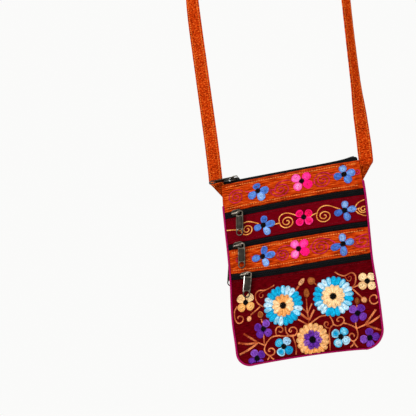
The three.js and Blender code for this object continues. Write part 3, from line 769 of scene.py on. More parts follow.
def even_steps(points, step):
    """Points an even step apart on a smooth curve through a few points."""
    points = np.array(points, float)
    reach = np.concatenate([[0], np.cumsum(np.linalg.norm(np.diff(points, axis=0), axis=1))])
    fine = np.linspace(0, reach[-1], max(8, int(reach[-1] / FINE_STEP)))
    curve = np.stack([smooth_curve(reach, points[:, axis])(fine) for axis in (0, 1)], axis=1)
    length = np.concatenate([[0], np.cumsum(np.linalg.norm(np.diff(curve, axis=0), axis=1))])
    at = np.linspace(0, length[-1], max(2, round(length[-1] / step) + 1))
    return np.stack([np.interp(at, length, curve[:, axis]) for axis in (0, 1)], axis=1)


def sew(work, path, tones, shares, girth=GIRTH, lift=0.0):
    """Add a row of stitches along a path; tones and shares give each stitch its colour."""
    count = len(path) - 1
    colour = mix(tones, np.broadcast_to(shares, (count,)))
    colour = np.clip(colour * (1 + JITTER * draw.standard_normal((count, 1))), 0, 1)
    work.append((path[:-1], path[1:], np.full(count, girth), np.full(count, lift), colour))


def stem(work, points, tones, rows, light, girth, swing=0.35):
    """A stem of one or more rows of stitches, lighter and darker by turns along its length."""
    path = even_steps(points, STITCH)
    along = np.gradient(path, axis=0)
    aside = np.stack([-along[:, 1], along[:, 0]], axis=1) / np.linalg.norm(along, axis=1, keepdims=True)
    wave = light + swing * np.sin(np.linspace(0, len(path) * ROW["wave"], len(path) - 1) + path[0, 0])
    for row in range(rows):
        offset = (row - (rows - 1) / 2) * ROW["pitch"] * girth
        slant = ROW["slant"] * girth * (-1) ** row
        shares = np.clip(wave + ROW["lighter"] * (row % 2), 0, 1)
        sew(work, path + aside * offset + along * slant, tones, shares, girth)


print(f"stitches {STITCH} mm long in rows {PITCH} mm apart")

# %% [markdown]
# Three shapes are drawn with such rows. A petal is filled as a needleworker fills it, in rings of stitches
# from its rim to its heart, and a knot is a small disc. Each inner ring lies a little higher than the one
# outside it, which gives the flowers their padded look. A spiral is the path of a curl.

# %% Petals, knots and spirals
PETAL = {"margin": 0.2, "rim": 0.35, "ring": 0.12, "deepen": 1.6, "least_core": 1}
KNOT = {"tones": ("#010101", "#050506"), "lift": 0.95, "ring": 0.2}
SPIRAL = {"eye": 1.6, "power": 1.1, "points": 14}


def petal(work, centre, angle, reach, size, tones, egg):
    """A petal filled in rings; its rim takes the first tone and its heart the second."""
    direction = np.array([math.cos(math.radians(angle)), -math.sin(math.radians(angle))])
    aside = np.array([-direction[1], direction[0]])
    half = np.array(size, float) / 2
    count = int((half.min() - PETAL["margin"]) / PITCH)
    for ring in range(count):
        semi = half - (ring + 0.5) * PITCH
        around = math.pi * (3 * semi.sum() - math.sqrt((3 * semi[0] + semi[1]) * (semi[0] + 3 * semi[1])))
        steps = max(5, round(around / STITCH))
        turn = 2 * np.pi * (np.arange(steps + 1) + 0.5 * (ring % 2)) / steps
        out = reach + semi[0] * np.cos(turn)
        over = semi[1] * np.sin(turn) * (1 + egg * np.cos(turn))
        path = np.array(centre) + out[:, None] * direction + over[:, None] * aside
        heart = min(1.0, PETAL["deepen"] * ring / max(count - 1, 1))
        sew(work, path, tones, heart, lift=PETAL["rim"] + PETAL["ring"] * ring)
    core = half - count * PITCH
    if core[0] > PETAL["least_core"]:
        line = np.linspace(reach - core[0], reach + core[0], max(2, round(2 * core[0] / STITCH) + 1))
        path = np.array(centre) + line[:, None] * direction
        sew(work, path, tones, 1.0, lift=PETAL["rim"] + PETAL["ring"] * count)


def knot(work, centre, radius, lift):
    """The dark centre of a flower: a disc of stitches, raised in the middle."""
    rings = max(2, int(radius / PITCH))
    for ring in range(rings):
        around = radius - (ring + 0.5) * PITCH
        steps = max(4, round(2 * math.pi * around / STITCH))
        turn = 2 * np.pi * np.arange(steps + 1) / steps
        path = np.array(centre) + around * np.stack([np.cos(turn), np.sin(turn)], axis=1)
        sew(work, path, KNOT["tones"], 0.5, lift=lift + KNOT["ring"] * ring)


def spiral(centre, radius, start, turns, squash=0.86):
    """Points on a spiral that winds inwards to a small eye, starting at an angle in degrees."""
    share = np.linspace(0, 1, max(10, int(turns * SPIRAL["points"])))
    angle = np.radians(start) + share * turns * 2 * np.pi
    reach = radius + (SPIRAL["eye"] - radius) * share ** SPIRAL["power"]
    return np.stack([centre[0] + reach * np.cos(angle), centre[1] - squash * reach * np.sin(angle)], axis=1)


print("thread tools ready")

# %% [markdown]
# The flowers repeat in three colours along the bands, each with four petals round a black knot, and a few
# more of the same kind on the lower panel. A row gives a flower's place, the angle and reach of each
# petal, the petal's size and its palette: a pair of tones, rim and heart, for each petal.

# %% Flowers with four petals
PALETTES = {
    "blue": [("#4470c4", "#3b64b6"), ("#5482d0", "#4672c0"), ("#5f8ed6", "#8cb0e2"), ("#3f6abe", "#5886cc")],
    "pale_blue": [("#5580c8", "#86a8d8"), ("#4a74c0", "#6a92ce"), ("#3f68ba", "#5c86c8"),
                  ("#3961b4", "#406abc")],
    "pink": [("#ff48a8", "#ff70ba"), ("#ff1282", "#ff3a96"), ("#ff0872", "#ff1478"), ("#ff3a9a", "#ff86c2")],
    "rose": [("#fb0a72", "#d40f55"), ("#f80a62", "#cf0d4e"), ("#ff2f88", "#e01560"), ("#fb1a7c", "#d81258")],
    "peach": [("#eebb80", "#f2c48c"), ("#f0c48e", "#f5cf9c"), ("#e2a058", "#eaae68"), ("#df9a50", "#e6a860")],
    "cream": [("#eec28c", "#f4d2a2"), ("#f0c894", "#f5d4a6"), ("#ecc08a", "#f3ce9e"), ("#eab87e", "#f0c692")],
    "purple": [("#632a98", "#54208a"), ("#824cb2", "#743ca6"), ("#682e9e", "#7238a4"),
               ("#531f8a", "#622a98")],
    "cyan_left": [("#089ac6", "#50b8d8"), ("#a8cce2", "#94bad8"), ("#0684b6", "#0e94c6"),
                  ("#98cee2", "#0694c4")],
    "cyan_right": [("#90cae0", "#0696c6"), ("#0a9ecc", "#78c4de"), ("#b0d4e4", "#9cc8de"),
                   ("#3cb0d4", "#acd2e4")],
}
FLOWER_KEYS = "at spokes size palette"
FLOWERS = {
    "top_band": table(
        FLOWER_KEYS,
        ((-44.5, 17.5), ((101, 6.8), (-4, 10.4), (-65, 10.8), (-151, 10.8)), (11.4, 10.4), "blue"),
        ((14.0, 15.3), ((145, 10.6), (41, 9.8), (-37, 11.6), (-130, 10.0)), (11.6, 11.2), "pink"),
        ((68.5, 16.0), ((98, 8.8), (6, 10.6), (-60, 9.8), (-172, 9.6)), (10.8, 10.0), "pale_blue"),
    ),
    "middle_band": table(
        FLOWER_KEYS,
        ((-41.0, 64.0), ((79, 8.6), (2, 11.6), (-64, 10.6), (-168, 9.0)), (11.8, 8.8), "blue"),
        ((12.5, 63.0), ((134, 8.6), (32, 8.8), (-44, 10.0), (-136, 9.2)), (11.0, 10.2), "rose"),
        ((64.5, 62.7), ((83, 8.6), (4, 10.6), (-76, 10.0), (-167, 9.6)), (11.8, 8.6), "pale_blue"),
    ),
    "lower_band": table(
        FLOWER_KEYS,
        ((-46.0, 104.2), ((71, 9.4), (3, 12.6), (-69, 9.8), (-176, 10.4)), (11.8, 8.8), "blue"),
        ((1.6, 102.6), ((124, 9.2), (39, 11.0), (-33, 11.0), (-131, 9.6)), (11.2, 10.6), "pink"),
        ((57.6, 105.2), ((90, 9.4), (10, 9.6), (-92, 11.0), (-166, 12.0)), (11.6, 8.8), "pale_blue"),
    ),
    "front_panel": table(
        FLOWER_KEYS,
        ((-74.3, 157.7), ((137, 8.8), (41, 8.6), (-45, 8.8), (-138, 8.8)), (11.8, 11.0), "peach"),
        ((81.8, 155.0), ((131, 8.2), (42, 7.6), (-52, 8.6), (-142, 8.6)), (11.0, 10.4), "cream"),
        ((-54.2, 195.0), ((156, 8.4), (56, 8.0), (-44, 8.6), (-132, 8.6)), (10.8, 10.0), "purple"),
        ((65.8, 193.4), ((52, 8.0), (134, 8.2), (-40, 7.8), (-130, 8.4)), (10.6, 10.0), "purple"),
        ((-67.0, 229.6), ((32, 7.8), (112, 8.0), (-60, 6.4), (-158, 8.2)), (10.0, 9.8), "purple"),
        ((76.4, 225.2), ((88, 8.0), (-176, 8.2), (-92, 8.0), (4, 8.2)), (10.2, 9.8), "purple"),
        ((-30.9, 220.4), ((136, 8.2), (51, 8.0), (-42, 8.4), (-126, 8.2)), (10.8, 10.6), "cyan_left"),
        ((41.7, 219.0), ((142, 8.0), (52, 7.6), (-42, 8.0), (-124, 9.0)), (11.4, 10.6), "cyan_right"),
    ),
}
HEART, KNOT_RADIUS, FLOWER_EGG = 2.0, 3.6, 0.22
TRIM = {"top_band": 1.5, "middle_band": 1.8, "lower_band": 1.5, "front_panel": 1.2}


def sew_flowers(work, panel):
    """A panel's four-petalled flowers: each petal runs from the heart to a tip that is trimmed a little."""
    for flower in FLOWERS[panel]:
        length, width = flower["size"]
        for (angle, reach), tones in zip(flower["spokes"], PALETTES[flower["palette"]]):
            tip = reach + length / 2 - TRIM[panel]
            petal(work, flower["at"], angle, (tip + HEART) / 2, (tip - HEART, width), tones, FLOWER_EGG)
        knot(work, flower["at"], KNOT_RADIUS, KNOT["lift"])


print({panel: len(rows) for panel, rows in FLOWERS.items()})

# %% [markdown]
# On each band a scroll winds between the flowers: a stem leaves one flower, curls into a spiral, and a
# second line arches over it to the next. The scrolls are magenta on the orange bands, where they almost
# sink into the cloth, and gold on the maroon band, where they stand out.

# %% Scrolls on the bands
MAGENTA_SCROLL = {"tones": ("#960e3a", "#c01f4c"), "rows": 1, "girth": 1.35, "shift": (0, 0)}
GOLD_SCROLL = {"tones": ("#c0661e", "#eda656"), "rows": 2, "girth": 0.75, "shift": (-1.0, -2.2)}
SCROLL_THREADS = {"top_band": MAGENTA_SCROLL, "middle_band": GOLD_SCROLL, "lower_band": MAGENTA_SCROLL}
CURL_LIGHT, ARCH_LIGHT = 0.55, 0.6
SCROLL_KEYS = "centre radius start turns squash"
SCROLLS = {
    "top_band": table(
        SCROLL_KEYS,
        ((-74.5, 19.6), 11.6, 32, 2.2),
        ((-14.6, 21.4), 13.4, 165, 2.1, 0.7),
        ((40.8, 19.0), 12.6, 30, 2.3),
        ((84.6, 15.0), 4.6, 150, 1.5),
    ),
    "middle_band": table(
        SCROLL_KEYS,
        ((-62.4, 67.4), 8.4, 185, 1.75),
        ((-8.8, 67.4), 9.6, 178, 1.8),
        ((39.2, 68.0), 9.6, 160, 1.8),
        ((88.4, 66.0), 6.0, 170, 1.6),
    ),
    "lower_band": table(
        SCROLL_KEYS,
        ((-75.0, 102.0), 9.0, 40, 1.6, 0.55),
        ((-19.4, 106.4), 8.8, 165, 2.0),
        ((29.4, 104.6), 12.0, 150, 2.2, 0.8),
        ((81.0, 104.5), 8.8, 165, 1.4),
    ),
}
ARCHES = {
    "top_band": [
        [(-33, 19), (-27, 19.6), (-21.6, 20.4)],
        [(-21.6, 20.4), (-19, 13.4), (-11, 10.2), (-3, 10.6), (4, 13)],
        [(22, 19), (27, 20.5), (31, 20)],
        [(53, 13.6), (57.5, 14.6), (61, 15.4)],
        [(-62, 14.6), (-58, 15.8), (-53, 18.6)],
    ],
    "middle_band": [
        [(-93, 62.0), (-86, 63.0), (-78, 64.6), (-71, 66.8)],
        [(-71, 66.8), (-69.6, 60), (-65, 57.3), (-59, 57.4), (-52, 60), (-46, 63)],
        [(-31, 66), (-25, 67.6), (-18.6, 67.2)],
        [(-18.6, 67.2), (-18.6, 60.6), (-15, 56.8), (-8.6, 55.8), (-1.5, 58.2), (5, 62)],
        [(20, 67), (25, 64.2), (30.2, 62.8)],
        [(30.2, 64.6), (32.6, 59), (36.6, 55.8), (42, 54.7), (48, 56), (54, 59.2), (60, 62.2)],
        [(74, 65.6), (79, 65.4), (84, 64.2)],
        [(77.6, 64.6), (81.4, 58.4), (87.6, 54.8), (93, 53.8)],
        [(77.6, 65.8), (82.4, 71.2), (88.4, 74.4), (93, 75.4)],
    ],
    "lower_band": [
        [(-62, 101), (-58, 103), (-54, 104.4)],
        [(-36, 106), (-32, 105.6), (-28, 104.4)],
        [(-27.6, 104), (-23, 97.6), (-15, 95.4), (-8, 97.4)],
        [(11, 107.5), (14.5, 105.5), (18, 101)],
        [(18, 101), (24, 95), (33, 94), (42, 97.4), (48, 102)],
        [(67, 104), (74, 99.6), (82, 97), (88, 96)],
        [(68, 107), (76, 111.6), (88, 112)],
    ],
}


def sew_scrolls(work, panel):
    """A band's spirals, and then the lines that arch over and between them."""
    thread = SCROLL_THREADS[panel]
    lines = [(spiral(**row), CURL_LIGHT) for row in SCROLLS[panel]]
    lines += [(np.array(points), ARCH_LIGHT) for points in ARCHES[panel]]
    for points, light in lines:
        stem(work, points + thread["shift"], thread["tones"], thread["rows"], light, thread["girth"])


print({panel: len(rows) + len(ARCHES[panel]) for panel, rows in SCROLLS.items()})

# %% [markdown]
# The lower panel is one spray: two big daisies and a smaller one, joined by branching stems that end in
# curls, buds and forked leaves. The stems are a variegated brown floss that runs from rust to pale peach.
# Each row of the table is one branch: its points, its rows of stitches and how light it is.

# %% Stems, leaves and buds on the lower panel
BROWN_FLOSS, STEM_GIRTH, BUD_EGG = ("#943414", "#d67e4c"), 0.95, -0.15
BRANCHES = table(
    "rows light points",
    (2, 0.35, [(-34.4, 142.6), (-41, 145.2), (-48.4, 146.8), (-54, 145.8), (-59.2, 148), (-60.6, 152.4),
     (-60, 158), (-57.4, 162.6), (-51, 167.6)]),
    (1, 0.15, [(-47.2, 147.5), (-51.2, 148.5), (-55.5, 151), (-54.3, 155.1), (-50.7, 154.8),
     (-50.5, 151.9)]),
    (2, 0.6, [(-55.8, 166.7), (-63.4, 171.2), (-69.6, 174.8)]),
    (2, 0.45, [(-86.6, 160.6), (-90.2, 165), (-91.2, 171), (-90.4, 177.6), (-86.8, 182.2), (-82.2, 181.8),
     (-79.6, 177.8), (-82.2, 174), (-86.2, 173.8), (-87.2, 176)]),
    (2, 0.6, [(-55, 187), (-55.8, 182)]),
    (2, 0.5, [(-38.4, 205.1), (-38.9, 200.2), (-37, 196.3), (-32.9, 195.3), (-29.5, 198.2), (-30.1, 201.6),
     (-32.9, 202.8), (-34.8, 200.8)]),
    (2, 0.65, [(-18.3, 202.6), (-20.1, 204.3), (-21.9, 202.3), (-20.3, 199.7), (-16.2, 198.6),
     (-12.7, 200.6), (-11.5, 204.4), (-13.6, 208), (-17.4, 209.6), (-21.2, 209), (-24.6, 205.8),
     (-26.1, 201), (-25.7, 196.8)]),
    (2, 0.65, [(-16.5, 208.7), (-27.3, 208.3), (-38.1, 206.1), (-45.3, 207.1), (-51.5, 211.9),
     (-55.1, 216.7), (-56.3, 221.9), (-54.1, 226.1), (-50.1, 228.5), (-45.1, 227.5), (-43.1, 224.1),
     (-45.9, 220.3), (-50.1, 220.5), (-51.5, 222.7), (-49.3, 223.7)]),
    (2, 0.15, [(-18, 210), (-16, 218.9), (-16, 225.9), (-17.2, 232)]),
    (2, 0.5, [(-55.2, 201), (-55.2, 208), (-55.5, 215.1)]),
    (2, 0.6, [(-55.5, 215.1), (-59.6, 212.8), (-63.8, 210.3)]),
    (3, 0.2, [(-63.8, 210.3), (-72.4, 203.4), (-81.2, 196.6)]),
    (3, 0.3, [(-63.8, 210.6), (-77, 210.2), (-89.6, 206.8)]),
    (3, 0.75, [(-63.8, 211.2), (-76.4, 217.2), (-88.9, 221.6)]),
    (2, 0.4, [(-50.8, 228.5), (-51.8, 231), (-54.2, 233.3)]),
    (2, 0.4, [(-50.1, 228.5), (-48.6, 231.4), (-45.8, 233.8)]),
    (3, 0.5, [(-9, 155.4), (-3.2, 149)]),
    (2, 0.25, [(3.8, 199), (4.6, 194), (4.2, 187), (4.2, 178.6), (4.8, 166)]),
    (2, 0.5, [(4.6, 184.2), (11, 173.4)]),
    (3, 0.6, [(5, 193.6), (13, 181.6)]),
    (2, 0.5, [(4.2, 184), (-2.6, 176.4)]),
    (3, 0.5, [(4, 192.4), (-4.8, 183.4)]),
    (2, 0.55, [(3.6, 199), (-8.8, 190.2)]),
    (2, 0.6, [(5.4, 198), (12, 194.4), (19.4, 190.8), (27, 190.6)]),
    (2, 0.3, [(22, 153.8), (16.4, 147.6)]),
    (2, 0.45, [(44, 138.2), (48.6, 142.2), (54.8, 144.8), (59.6, 143.2), (64.2, 141.8), (68, 145),
     (68.2, 151.8), (65.6, 158), (61.6, 161.4)]),
    (1, 0.25, [(55.6, 145.2), (56.9, 149), (59.6, 152.4), (63, 149.4), (62, 145.6), (59.4, 147.5)]),
    (2, 0.75, [(61.2, 161.4), (70.6, 158.8)]),
    (2, 0.5, [(62.2, 161.4), (66.8, 166.9), (73.4, 175.2)]),
    (2, 0.65, [(89.7, 178), (91, 175.6), (87.9, 173.1), (83.7, 174.7), (81.9, 178.9), (83.9, 183.5),
     (88.3, 184.2), (92.4, 181), (94.2, 175.8)]),
    (2, 0.3, [(65.6, 186), (66.2, 183)]),
    (2, 0.4, [(30.6, 190.6), (33.4, 197.2), (34.4, 202.6), (30.2, 206.4), (27.8, 213.6), (27, 221.6),
     (26.4, 228.6), (25.6, 232.8)]),
    (2, 0.2, [(30.4, 206.8), (26, 206), (23.2, 202), (24.6, 198.6), (27.6, 198.8), (28.6, 201.4),
     (26.8, 203.2)]),
    (2, 0.65, [(34.4, 202.6), (38.8, 205.3), (44, 204.3), (47.6, 201.5), (47.8, 197.1), (44.4, 194.9),
     (40.4, 196.1), (39.4, 199.1), (41.8, 200.1)]),
    (2, 0.7, [(46.6, 202.6), (54, 205.8), (58.8, 209), (62.1, 211.8)]),
    (2, 0.6, [(62.8, 200), (61.6, 206), (62.1, 211.8), (62.6, 218.6), (60.4, 223.6), (56.2, 226.4),
     (52.2, 223.6), (52, 219), (55.2, 216.6), (58, 218.8), (57.2, 221)]),
    (2, 0.75, [(62.1, 211.8), (67.8, 210), (73.2, 208.5)]),
    (3, 0.6, [(73.2, 208), (80.4, 200.2), (87.4, 191.8)]),
    (3, 0.6, [(73.6, 209), (83, 205), (92.2, 199.8)]),
    (3, 0.1, [(74, 209.4), (82.6, 213.6), (91, 218)]),
    (2, 0.4, [(56.6, 227), (55.4, 230), (51.2, 232.7)]),
    (2, 0.4, [(56.6, 227), (57.4, 230.4), (60.1, 234.2)]),
)
BUDS = table(
    "at size angle tones",
    ((-71.8, 179.2), (7.4, 6.4), 240, ("#cf8450", "#e8ac7c")),
    ((-56.2, 176.4), (8.6, 7.4), 95, ("#b4642e", "#8c4418")),
    ((1.1, 144.2), (11.0, 5.8), 46, ("#cc8452", "#e0a274")),
    ((5.9, 159.2), (12.0, 7.4), 90, ("#7e3a12", "#9c5222")),
    ((13.4, 144.8), (10.4, 9.4), 130, ("#8a4418", "#ac6230")),
    ((75.4, 178.0), (8.0, 7.4), -50, ("#bc7440", "#d89c6c")),
    ((66.8, 178.0), (9.0, 6.0), 90, ("#763610", "#8c4619")),
)


def sew_branches(work):
    """The spray's branches, and then the buds at their tips."""
    for branch in BRANCHES:
        stem(work, branch["points"], BROWN_FLOSS, branch["rows"], branch["light"], STEM_GIRTH)
    for bud in BUDS:
        petal(work, bud["at"], bud["angle"], 0.0, bud["size"], bud["tones"], BUD_EGG)


print(f"{len(BRANCHES)} branches and {len(BUDS)} buds")

# %% [markdown]
# A daisy is two rings of narrow petals round a black knot. The needleworker changed floss every few petals,
# so cyan, pale blue and two-tone petals follow each other in short runs. A string of letters gives the
# order, clockwise from the top, and the same function makes all three daisies. Under each petal lie a few
# thicker stitches of its own colour, as padding does, so that no cloth shows between one and the next.

# %% Daisies
RAYS = {
    "c": ("#048ab8", "#0ca6d0"), "p": ("#88bcd6", "#c2dae6"), "m": ("#0896c4", "#90cae0"),
    "o": ("#d88a44", "#e4a05c"), "l": ("#e8b67c", "#f1c898"), "k": ("#d89858", "#e8b076"),
    "u": ("#481880", "#622a98"), "v": ("#642e9c", "#844cb0"),
}
DAISIES = [
    {"at": (-25.6, 170.0), "rings": [
        {"order": "mppcccpmcccpmccmppccc", "turn": 5.5, "inner": 13.4, "outer": 25.6},
        {"order": "oolllooolllo", "turn": 0, "inner": 3.6, "outer": 14.8}]},
    {"at": (38.4, 168.4), "rings": [
        {"order": "ccmppmcmppcccppmcccppm", "turn": 7.5, "inner": 13.6, "outer": 25.4},
        {"order": "llllllllllll", "turn": 0, "inner": 3.6, "outer": 15.2}]},
    {"at": (6.3, 217.6), "rings": [
        {"order": "kkkkkkkooookkkkkk", "turn": 0, "inner": 10.2, "outer": 20.8},
        {"order": "uvvuuvu", "turn": -4, "inner": 3.0, "outer": 13.0, "spread": 1.78, "bare": 5.2}]},
]
RAY = {"spread": 2.16, "widest": 0.35, "egg": 0.3}
FILL = {"pitch": 1.7, "girth": 1.95, "lift": -0.3, "start": 0.3, "bare": 3.4, "sweep": 190, "tone": 0.3}
DAISY_KNOT = {"radius": 4.2, "lift": 1.1}


def sew_daisy(work, daisy):
    """Both rings of a daisy, each petal followed by its padding, and the knot in the middle."""
    for ring in daisy["rings"]:
        count = len(ring["order"])
        reach = (ring["inner"] + ring["outer"]) / 2
        length = ring["outer"] - ring["inner"]
        width = ring.get("spread", RAY["spread"]) * math.pi * (ring["outer"] - RAY["widest"] * length) / count
        fill_end = ring["outer"] - ring.get("bare", FILL["bare"])
        for step, letter in enumerate(ring["order"]):
            angle = 90 - ring["turn"] - 360 * step / count
            petal(work, daisy["at"], angle, reach, (length, width), RAYS[letter], RAY["egg"])
            turn = np.radians(angle + np.linspace(-FILL["sweep"], FILL["sweep"], 3) / count)
            for radius in np.arange(ring["inner"] - FILL["start"], fill_end, FILL["pitch"]):
                fill = np.array(daisy["at"]) + radius * np.stack([np.cos(turn), -np.sin(turn)], axis=1)
                sew(work, fill, RAYS[letter], FILL["tone"], FILL["girth"], FILL["lift"])
    knot(work, daisy["at"], **DAISY_KNOT)


print(f"{len(DAISIES)} daisies")

# %% [markdown]
# The design is flat, and the cloth is not, so each stitch is lifted on to the cloth: both its ends are
# found on the wall's outer face, and the face's slope gives the way it looks. Then the strand tree lays
# the thread, one piece for each panel and one for the daisies, so that no mesh grows too large.

# %% Laying the embroidery
EDGE_HIDDEN, HEM_HIDDEN = 1.6, 1
PROBE, THREAD_REST, OVERLAP = 0.4, 0.25, 1.3


def cloth_point(panel, flat, lift):
    """The place on a front panel above a point of the design, in metres."""
    x, drop = flat[:, 0], flat[:, 1]
    share = share_at(x, drop)
    return place(x, inner_depth("front", share, drop) + cloth_lift(panel, x, share, drop) + lift, drop)


def guides_on_cloth(panel, work, laid=(0, 0)):
    """Turn stitches of the design into guides, leaving out those that the binding or a hem would hide."""
    start, end, girth, lift, colour = (np.concatenate(values) for values in zip(*work))
    start, end = start + laid, end + laid
    middle = (start + end) / 2
    x, drop = middle[:, 0], middle[:, 1]
    upper, lower = (line(share_at(x, drop)) for line in LINES[panel])
    below = EDGE_HIDDEN if panel == "front_panel" else HEM_HIDDEN
    kept = np.abs(x) < width_at(x, drop) - EDGE_HIDDEN
    kept &= (drop > upper + HEM_HIDDEN) & (drop < lower - below)
    start, end, girth, lift, colour, middle = (
        values[kept] for values in (start, end, girth, lift, colour, middle))
    first, last = cloth_point(panel, start, lift), cloth_point(panel, end, lift)
    over, down = (cloth_point(panel, middle + step, lift) - cloth_point(panel, middle - step, lift)
                  for step in ((PROBE, 0), (0, PROBE)))
    facing = np.cross(down, over)
    facing *= np.where(facing[:, 1:2] < 0, 1, -1) / np.linalg.norm(facing, axis=1, keepdims=True)
    centre = (first + last) / 2 + facing * THREAD_REST * MM
    tone = np.concatenate([colour, np.ones((len(colour), 1))], axis=1)
    return centre, (last - first) * OVERLAP, facing, girth * MM, tone


LAID_AT = {"top_band": (2.1, 2.0), "middle_band": (1.8, 2.6), "lower_band": (2.0, 3.0),
           "front_panel": (1.5, 3.8)}
embroidery, daisy_work = {}, []
for panel in FLOWERS:
    work = []
    if panel in SCROLLS:
        sew_scrolls(work, panel)
    else:
        sew_branches(work)
        for daisy in DAISIES:
            sew_daisy(daisy_work, daisy)
    sew_flowers(work, panel)
    guides = guides_on_cloth(panel, work, LAID_AT[panel])
    embroidery[panel] = [lay_strands(panel + "_embroidery", guides, FLOSS_THREAD)]
guides = guides_on_cloth("front_panel", daisy_work, LAID_AT["front_panel"])
embroidery["front_panel"].append(lay_strands("front_panel_daisies", guides, FLOSS_THREAD))

# %% [markdown]
# The hems are sewn down with a lighter thread, which shows as a broken line along every edge of the
# orange bands, and hardly at all on the maroon cloth. A second row of dark rust-coloured strands runs beside
# it on the orange bands, nearer the edge, as painted shade along the fold. The same guides serve here, with a
# gap between one stitch and the next.

# %% Sewing along the hems
SEAM_STITCH = {"pitch": 3.2, "share": 0.6, "girth": 0.8, "lift": 0.1, "reach": 86.0}
HEM_THREADS = {
    "top_band": ("#d4782c", "#e8a258"), "middle_band": ("#5a0a14", "#6c121e"),
    "lower_band": ("#d4782c", "#e8a258"), "front_panel": ("#4c060e", "#5c0c16"),
}
# Dark strands as painted shade along the fold of each wide hem.
HEM_CREASE_SHADE_ROW = {"tones": ("#6a1c03", "#842a06"), "along": 1.6, "nearer": 1.9, "least_hem": 4}


def hem_rows(panel):
    """Rows of spaced stitches along the hemmed edges of a front panel, on the flat design."""
    work = []
    girth, lift = SEAM_STITCH["girth"], SEAM_STITCH["lift"]
    for line, sign, hemmed in zip(LINES[panel], (1, -1), hem_edges(panel)):
        starts = np.arange(-SEAM_STITCH["reach"], SEAM_STITCH["reach"], SEAM_STITCH["pitch"])
        for start in starts if hemmed else ():
            ends = np.array([start, start + SEAM_STITCH["pitch"] * SEAM_STITCH["share"]])
            drop = line(share_at(ends, np.full(2, ZIPS["middle"]["drop"]))) + sign * HEM_WIDTH[panel]
            sew(work, np.stack([ends, drop], axis=1), HEM_THREADS[panel], 0.5, girth, lift)
            # Painted shade: a row of dark strands beside the hem stands in for the shadow in its fold.
            if HEM_WIDTH[panel] > HEM_CREASE_SHADE_ROW["least_hem"]:
                beside = np.stack([ends + HEM_CREASE_SHADE_ROW["along"], drop - sign * HEM_CREASE_SHADE_ROW["nearer"]], axis=1)
                sew(work, beside, HEM_CREASE_SHADE_ROW["tones"], 0.5, girth)
    return work


hem_sewing = {}
for panel in HEM_THREADS:
    guides = guides_on_cloth(panel, hem_rows(panel))
    hem_sewing[panel] = lay_strands(panel + "_hem_stitches", guides, FLOSS_THREAD, Rings=4)

# %% [markdown]
# The side and bottom seams are closed by a magenta tape folded over the raw edges: flat on the front, round
# at the nose, flat on the back. This section is carried along the edge, and each of its points rests on the
# cloth below it. The tape was sewn on by hand, so its front lip is widest down the left edge and narrow on
# the right and along the bottom.

# %% Magenta binding
BINDING_START = {-1: 30.0, 1: 28.6}
FRONT_LIP = {"right": 0.35, "bottom": 0.2, "nose": 0.6}
HALF_POUCH, TAPE_HALF = 94.0, 5
EDGE_STEPS = {"straight": 2.0, "corner": 18, "bottom": 80}
NOSE = [(0.1, 1.15), (0.65, 0.75), (1.05, 0.1), (1.25, -0.7), (1.3, -1.5)]
BINDING_OUTSIDE = {
    "front": [(-1.65, 0.3), (-1.6, 0.7), (-1.25, 0.95), (-0.8, 1.1), (-0.3, 1.15), *NOSE],
    "back": [(-4.1, 0.35), (-3.95, 0.85), (-3.4, 1.1), (-2.55, 0.85), (-1.4, 1.25), *NOSE],
}
BINDING_INSIDE = {
    face: [(-cover, 0.12)] * 3 + [(-cover / 2, 0.12)] * 2 + [(0.0, 0.12)] * 3 + [(GAP, 0.0), (GAP, -1.0)]
    for face, cover in (("front", 1.5), ("back", 4.0))
}


def edge_path():
    """The bound edge from under the left ear, down, along the bottom and up to the right ear."""
    step = EDGE_STEPS["straight"]
    sides = {}
    for sign in (-1, 1):
        straight = np.arange(BINDING_START[sign], CORNER_DROP[sign] - CORNER_RADIUS[sign] - 0.5 * step, step)
        turn = np.linspace(0, np.pi / 2, EDGE_STEPS["corner"])
        drop = np.concatenate([straight, CORNER_DROP[sign] - CORNER_RADIUS[sign] * (1 - np.sin(turn))])
        sides[sign] = np.stack([sign * half_width(sign, drop), drop], axis=1)
    share = np.linspace(-1, 1, EDGE_STEPS["bottom"])[1:-1]
    drop = bottom_edge(share)
    along_bottom = np.stack([share * width_at(share, drop), drop], axis=1)
    return np.concatenate([sides[-1], along_bottom, sides[1][::-1]])


def binding_chain(edge, outward, section):
    """Points of the folded tape at every place along the edge, front half then back half."""
    bottom = np.clip(outward[:, 1], 0, 1) ** 2 * (1 - np.abs(edge[:, 0] / HALF_POUCH) ** 6)
    right = np.where(edge[:, 0] > 0, FRONT_LIP["right"], 1)
    halves = []
    for face, rows in (("front", section["front"]), ("back", section["back"][::-1])):
        for reach, lift in rows:
            if face == "front" and reach < 0:
                drawn = reach * right * (1 - (1 - FRONT_LIP["bottom"]) * bottom)
            else:
                drawn = np.full(len(edge), reach) * (1 - (1 - FRONT_LIP["nose"]) * bottom * (reach > GAP))
            spot = edge + outward * np.minimum(drawn, 0)[:, None]
            share = share_at(spot[:, 0], spot[:, 1])
            depth = inner_depth(face, share, spot[:, 1]) + CLOTH + lift
            at = edge + outward * drawn[:, None]
            halves.append(place(at[:, 0], depth, at[:, 1], face))
    return np.stack(halves, axis=1)


edge = edge_path()
along_edge = np.gradient(edge, axis=0)
along_edge /= np.linalg.norm(along_edge, axis=1, keepdims=True)
edge_outward = np.stack([-along_edge[:, 1], along_edge[:, 0]], axis=1)
edge_length = np.concatenate([[0], np.cumsum(np.linalg.norm(np.diff(edge, axis=0), axis=1))])
tape_across = np.linspace(-TAPE_HALF, TAPE_HALF, sum(len(rows) for rows in BINDING_OUTSIDE.values()))
tape_flat = np.stack(np.meshgrid(tape_across, edge_length), axis=-1) * MM
binding = closed_sheet("magenta_binding", binding_chain(edge, edge_outward, BINDING_OUTSIDE),
                       binding_chain(edge, edge_outward, BINDING_INSIDE), tape_flat, MAGENTA_TAPE)
print(f"binding {edge_length[-1]:.0f} mm long")

